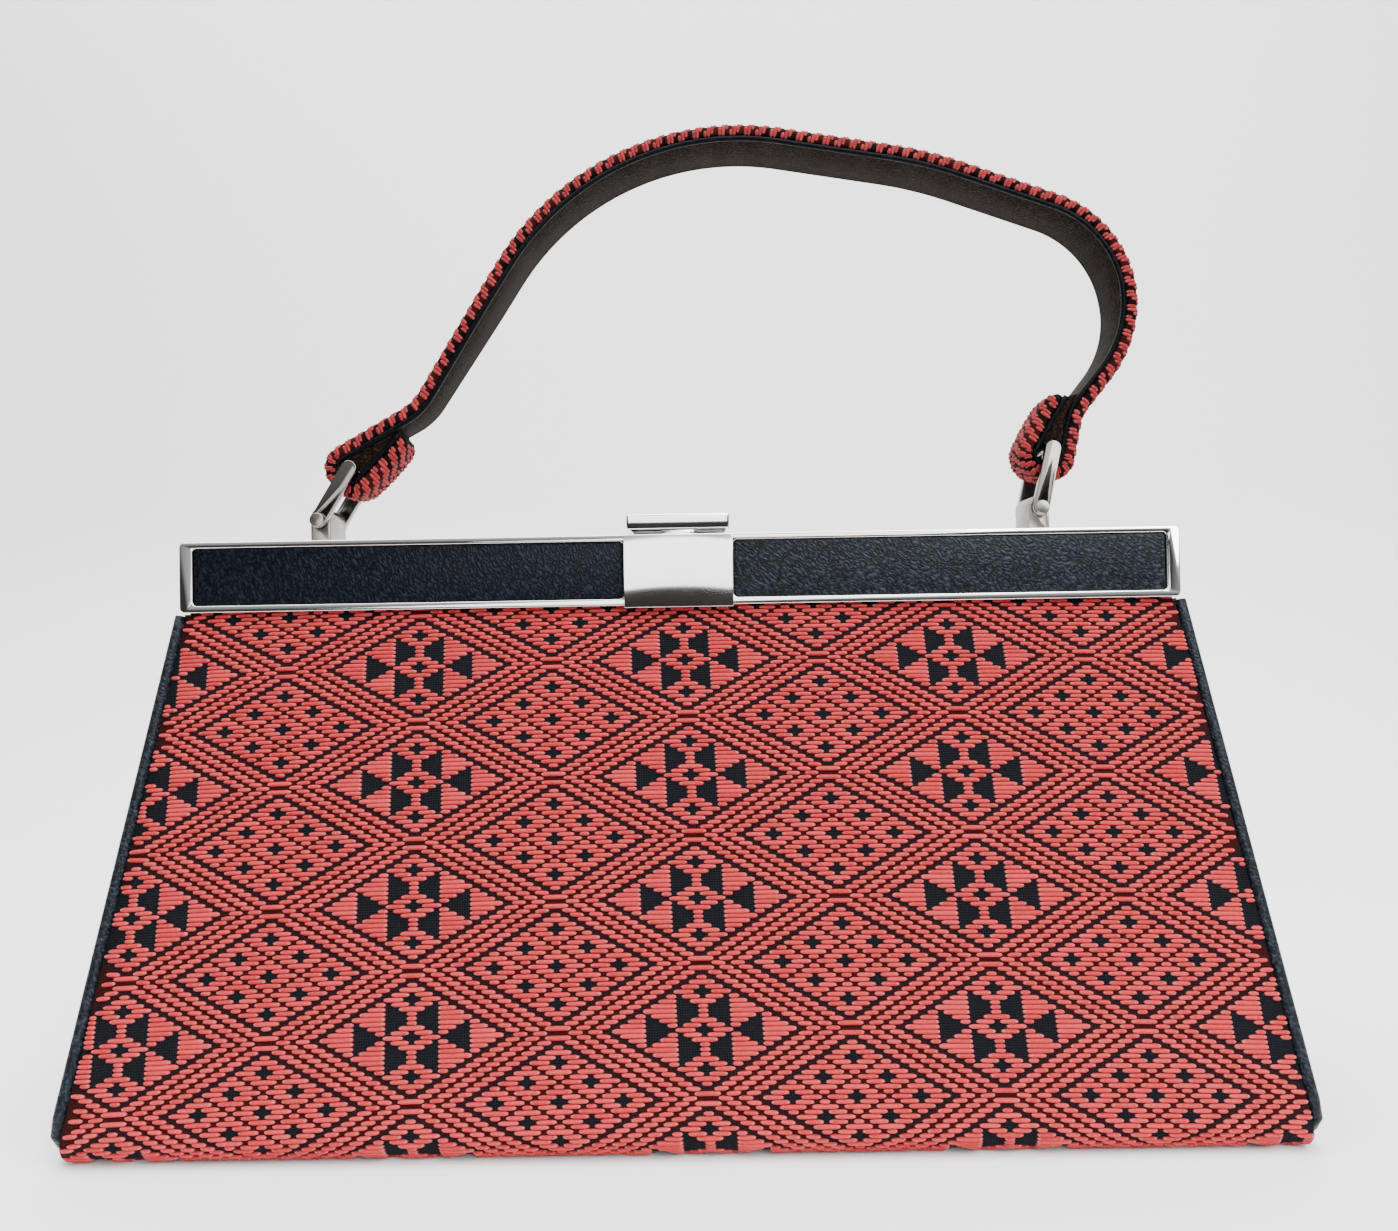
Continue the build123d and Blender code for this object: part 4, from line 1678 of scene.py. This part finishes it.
    def edge_reach(self, width: np.ndarray | float) -> np.ndarray | float:
        """Distance round the section from the middle of the outside to the ends of cloth of some widths."""
        return width / 2 + self.edge_radius * (math.pi / 2 - 2) + self.cloth - self.yarn_inset

    def section(self, round_place: np.ndarray, width: np.ndarray) -> tuple[np.ndarray, ...]:
        """Points and normals round the strap's section.

        Args:
            round_place: Distances round the section from the middle of the outside.
            width: Widths of the section.

        Returns:
            Distances across and out, and the normals across and out.
        """
        sign = np.where(round_place < 0, -1.0, 1.0)
        far = np.abs(round_place)
        radius = self.edge_radius
        flat = width / 2 - radius
        quarter = radius * math.pi / 2
        angle = np.clip((far - flat) / radius, 0, math.pi / 2)
        side = np.clip(far - flat - quarter, 0, None)
        across = sign * (np.minimum(far, flat) + radius * np.sin(angle))
        out = -radius * (1 - np.cos(angle)) - side
        return across, out, sign * np.sin(angle), np.cos(angle)

    def place(self, round_place: np.ndarray, along: np.ndarray, height: np.ndarray) -> np.ndarray:
        """Points over the strap's cloth.

        Args:
            round_place: Distances round the section from the middle of the outside.
            along: Distances along the strap.
            height: Heights over the ground cloth.

        Returns:
            Points in millimetres.
        """
        points, normals = self.path.at(np.clip(along, 0, self.path.length))
        width = self.cloth_width_at(points[:, 1])
        from_end = np.clip(np.minimum(along, self.path.length - along), 0, None)
        rounding = 1 - np.sqrt(1 - (1 - np.clip(from_end / self.tip_length, 0, 1)) ** 2)
        across, out, across_normal, out_normal = self.section(round_place, width)
        across = across * (1 - self.tip_narrowing * rounding)
        plump = self.tab_plumpness * np.sin(math.pi * np.clip(from_end / self.tab_length, 0, 1))
        depth = np.clip(1 + out / self.cloth, 0, 1)
        level = out + out_normal * height - self.yarn_inset + depth * (plump - self.tip_drop * rounding)
        y = self.middle + across + across_normal * height
        out_points = points + normals * level[:, None]
        return np.stack((out_points[:, 0], y, out_points[:, 1]), axis=1)

    def build_ground(self, shop: Workshop) -> None:
        """Make the dark ground cloth of the strap.

        Args:
            shop: The workshop that makes the pieces.
        """
        bm, grid = unit_grid(*self.ground_grid)
        along = (grid[:, 1] + 1) / 2 * self.path.length
        reach = self.edge_reach(self.cloth_width_at(self.path.at(along)[0][:, 1]))
        beside = np.abs(grid[:, 0])
        round_place = np.clip(beside / self.ground_share, 0, 1) * np.sign(grid[:, 0]) * reach
        points = self.place(round_place, along, np.zeros(len(along)))
        inner = np.clip((beside - self.ground_share) / (1 - self.ground_share), 0, 1)
        points[:, 1] = self.middle + (points[:, 1] - self.middle) * (1 - inner)
        lay_out(bm, points)
        count_threads(bm, round_place / self.chart.thread, along / self.chart.row)
        bmesh.ops.remove_doubles(bm, verts=bm.verts, dist=TOUCH_DISTANCE * MM)
        bmesh.ops.holes_fill(bm, edges=bm.edges, sides=0)
        bmesh.ops.recalc_face_normals(bm, faces=bm.faces)
        piece = shop.piece("strap_ground", bm, STRAP_WEAVE, Slot.STRAP)
        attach(piece, Body.STRAP.value)
        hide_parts("strap_cover")

    def build_stitching(self, shop: Workshop) -> None:
        """Lay floats across the strap and down its edges.

        Args:
            shop: The workshop that makes the pieces.
        """
        pitch = self.chart.row
        floats = []
        for row in range(1, int(self.path.length / pitch)):
            along = row * pitch
            width = float(self.cloth_width_at(self.path.at(np.array([along]))[0][:, 1])[0])
            reach = self.edge_reach(width) - self.leather_gap
            for low, high, lean in self.chart.floats(row, -reach, reach, 0.0):
                floats.append((low, high, along, lean))
        mesh = self.shape.build("strap_floats", floats, self.place, pitch, self.seed)
        piece = shop.mesh_piece("strap_floats", mesh, SHADED_STRAP_YARN)
        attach(piece, Body.STRAP.value)

    def build_lining(self, shop: Workshop) -> None:
        """Make the leather inside of the strap, between its rolled edges.

        Args:
            shop: The workshop that makes the pieces.
        """
        lining = shop.softened("strap_lining", Body.STRAP, BROWN_LEATHER, Slot.BROWN, self.lining_edge)
        for vert in lining.data.vertices:
            vert.co.y = (self.middle + (vert.co.y / MM - self.middle) * self.lining_share) * MM

    def build_edges(self, shop: Workshop) -> None:
        """Make the leather rolls along both edges of the lining.

        Args:
            shop: The workshop that makes the pieces.
        """
        points, normals = self.path.at(np.linspace(0, self.path.length, self.roll_rings))
        halves = self.width_at(points[:, 1]) / 2 - self.roll_radius
        level = -self.cloth - self.leather / 2
        across = Vector((0, 1, 0))
        for side in Side:
            spots = []
            for (x, z), (normal_x, normal_z), half in zip(points, normals, halves):
                out = Vector((normal_x, 0, normal_z))
                turn = Matrix((out, across, out.cross(across))).transposed().to_4x4()
                spot = Vector((x, self.middle + side.value * half, z)) + out * level
                spots.append(Matrix.Translation(spot * MM) @ turn)
            bm = shop.cord(spots, self.roll_radius, self.roll_sides)
            roll = shop.piece(f"strap_roll_{side.word}", bm, ROLL_LEATHER, Slot.LEATHER)
            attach(roll, Body.STRAP.value)

    def build_fillers(self, shop: Workshop) -> None:
        """Make the leather wedges that close the folds between the bars and the tabs' ends.

        Args:
            shop: The workshop that makes the pieces.
        """
        starts = [start for start, _ in self.path.runs]
        end = self.path.length
        folds = {
            Side.LEFT: ((starts[1] + starts[4]) / 2, 0.0, self.left_tab - self.bar_room),
            Side.RIGHT: ((starts[-4] + starts[-1]) / 2, end, end - self.right_tab + self.bar_room),
        }
        half = self.end_width / 2 * self.lining_share
        for side, (fold, tip, near_bar) in folds.items():
            bm, grid = unit_grid(self.filler_steps, 1)
            on_tab = tip + (near_bar - tip) * (grid[:, 0] + 1) / 2
            points, normals = self.path.at(np.where(grid[:, 1] < 0, on_tab, 2 * fold - on_tab))
            inside = points - normals * (self.cloth + self.leather / 2)
            near_side = np.full(len(grid), self.middle - half)
            lay_out(bm, np.stack((inside[:, 0], near_side, inside[:, 1]), axis=1))
            moved = extruded(bmesh.ops.extrude_face_region(bm, geom=bm.faces[:]))
            bmesh.ops.translate(bm, verts=moved, vec=(0, 2 * half * MM, 0))
            bmesh.ops.recalc_face_normals(bm, faces=bm.faces)
            name = f"strap_filler_{side.word}"
            filler = shop.piece(name, bm, BROWN_LEATHER, Slot.BROWN, smooth=False)
            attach(filler, Body.STRAP.value)


@dataclass(frozen=True)
class SoftLight:
    """One soft light: its place, what it faces, its width and height, and its power in watts."""

    name: str
    place: tuple[float, float, float]
    aim: tuple[float, float, float]
    size: tuple[float, float]
    power: float

    def build(self) -> None:
        """Add the light to the scene."""
        light = bpy.data.lights.new(self.name, "AREA")
        light.shape = "RECTANGLE"
        light.size = self.size[0] * MM
        light.size_y = self.size[1] * MM
        light.energy = self.power
        holder = linked(self.name, light)
        holder.location = Vector(self.place) * MM
        holder.rotation_euler = (Vector(self.aim) - Vector(self.place)).to_track_quat("-Z", "Y").to_euler()


KEY_LIGHT = SoftLight("key", (450, -700, 800), (0, 0, 90), (900, 900), 26.0)
TOP_LIGHT = SoftLight("top", (-150, 150, 1200), (0, 100, 0), (1400, 1400), 46.0)
FRONT_LIGHT = SoftLight("front", (0, -800, 272), (0, 0, 272), (480, 470), 2.4)
SURROUND_STOPS = (
    (0.0, (0.02, 0.018, 0.016, 1)),
    (0.46, (0.05, 0.045, 0.04, 1)),
    (0.62, (0.5, 0.51, 0.52, 1)),
    (1.0, (0.9, 0.95, 1.0, 1)),
)


@dataclass
class Studio:
    """A pale table that sweeps up into a backdrop, soft light and the camera."""

    table_front: float = 160.0
    table_rear: float = 520.0
    table_half_width: float = 2200.0
    wall_height: float = 2200.0
    sweep_radius: float = 220.0
    sweep_steps: int = 16
    lens: float = 28.33
    sensor: float = 36.0
    eye: tuple[float, float, float] = (6.6, -299.1, 119.6)
    look_up: float = 0.89
    look_left: float = 0.31
    roll: float = -0.97

    def build_floor(self, shop: Workshop) -> None:
        """Make the table top and bend its far end up into a backdrop.

        Args:
            shop: The workshop that makes the pieces.
        """
        bm, grid = unit_grid(1, 1)
        depth = np.where(grid[:, 1] > 0, self.table_rear, -self.table_front)
        lay_out(bm, np.stack((grid[:, 0] * self.table_half_width, depth, np.zeros(len(grid))), axis=1))
        far_edge = [edge for edge in bm.edges if all(vert.co.y > 0 for vert in edge.verts)]
        lifted = extruded(bmesh.ops.extrude_edge_only(bm, edges=far_edge))
        bmesh.ops.translate(bm, verts=lifted, vec=(0, 0, self.wall_height * MM))
        bmesh.ops.bevel(
            bm,
            geom=far_edge,
            offset=self.sweep_radius * MM,
            offset_type="OFFSET",
            affect="EDGES",
            segments=self.sweep_steps,
            profile=0.5,
            material=-1,
        )
        mesh = finished_mesh("table", bm, smooth=True)
        mesh.materials.append(shop.finishes.get(PALE_STAGE))
        table = linked("table", mesh)

    def build_light(self) -> None:
        """Set a surround that is dim below, and soft lights above."""
        graph = Graph.of_world("studio")
        direction = graph.add("ShaderNodeTexCoord", {}, {}).outputs["Generated"]
        height = Value(graph, graph.add("ShaderNodeSeparateXYZ", {}, {0: direction}).outputs["Z"])
        ramp = graph.add("ShaderNodeValToRGB", {"stops": SURROUND_STOPS}, {"Fac": height * 0.5 + 0.5})
        bpy.context.scene.world = graph.surface(Color=ramp.outputs["Color"], Strength=1.0)
        for light in (KEY_LIGHT, TOP_LIGHT, FRONT_LIGHT):
            light.build()

    def build_camera(self) -> None:
        """Set the camera at the photograph's viewing angle."""
        camera = bpy.data.cameras.new("camera")
        camera.lens = self.lens
        camera.sensor_width = self.sensor
        holder = linked("camera", camera)
        turn = Matrix.Rotation(math.radians(self.look_left), 4, "Z")
        turn = turn @ Matrix.Rotation(math.radians(90 + self.look_up), 4, "X")
        turn = turn @ Matrix.Rotation(math.radians(self.roll), 4, "Z")
        holder.matrix_world = Matrix.Translation(Vector(self.eye) * MM) @ turn
        bpy.context.scene.camera = holder


def main() -> None:
    """Build the bag, its handle and the studio."""
    logging.basicConfig(level=logging.INFO, format="%(name)s %(message)s")
    shop = Workshop()
    shell = BagShell()
    shell.build_ground(shop)
    shell.build_stitching(shop)
    shell.build_piping(shop)
    shell.build_sides(shop)
    FrameMetal().build(shop)
    strap = HandleStrap()
    strap.build_ground(shop)
    strap.build_stitching(shop)
    strap.build_lining(shop)
    strap.build_edges(shop)
    strap.build_fillers(shop)
    studio = Studio()
    studio.build_floor(shop)
    studio.build_light()
    studio.build_camera()
    LOG.info("%d pieces", shop.count)


if __name__ == "__main__":
    main()
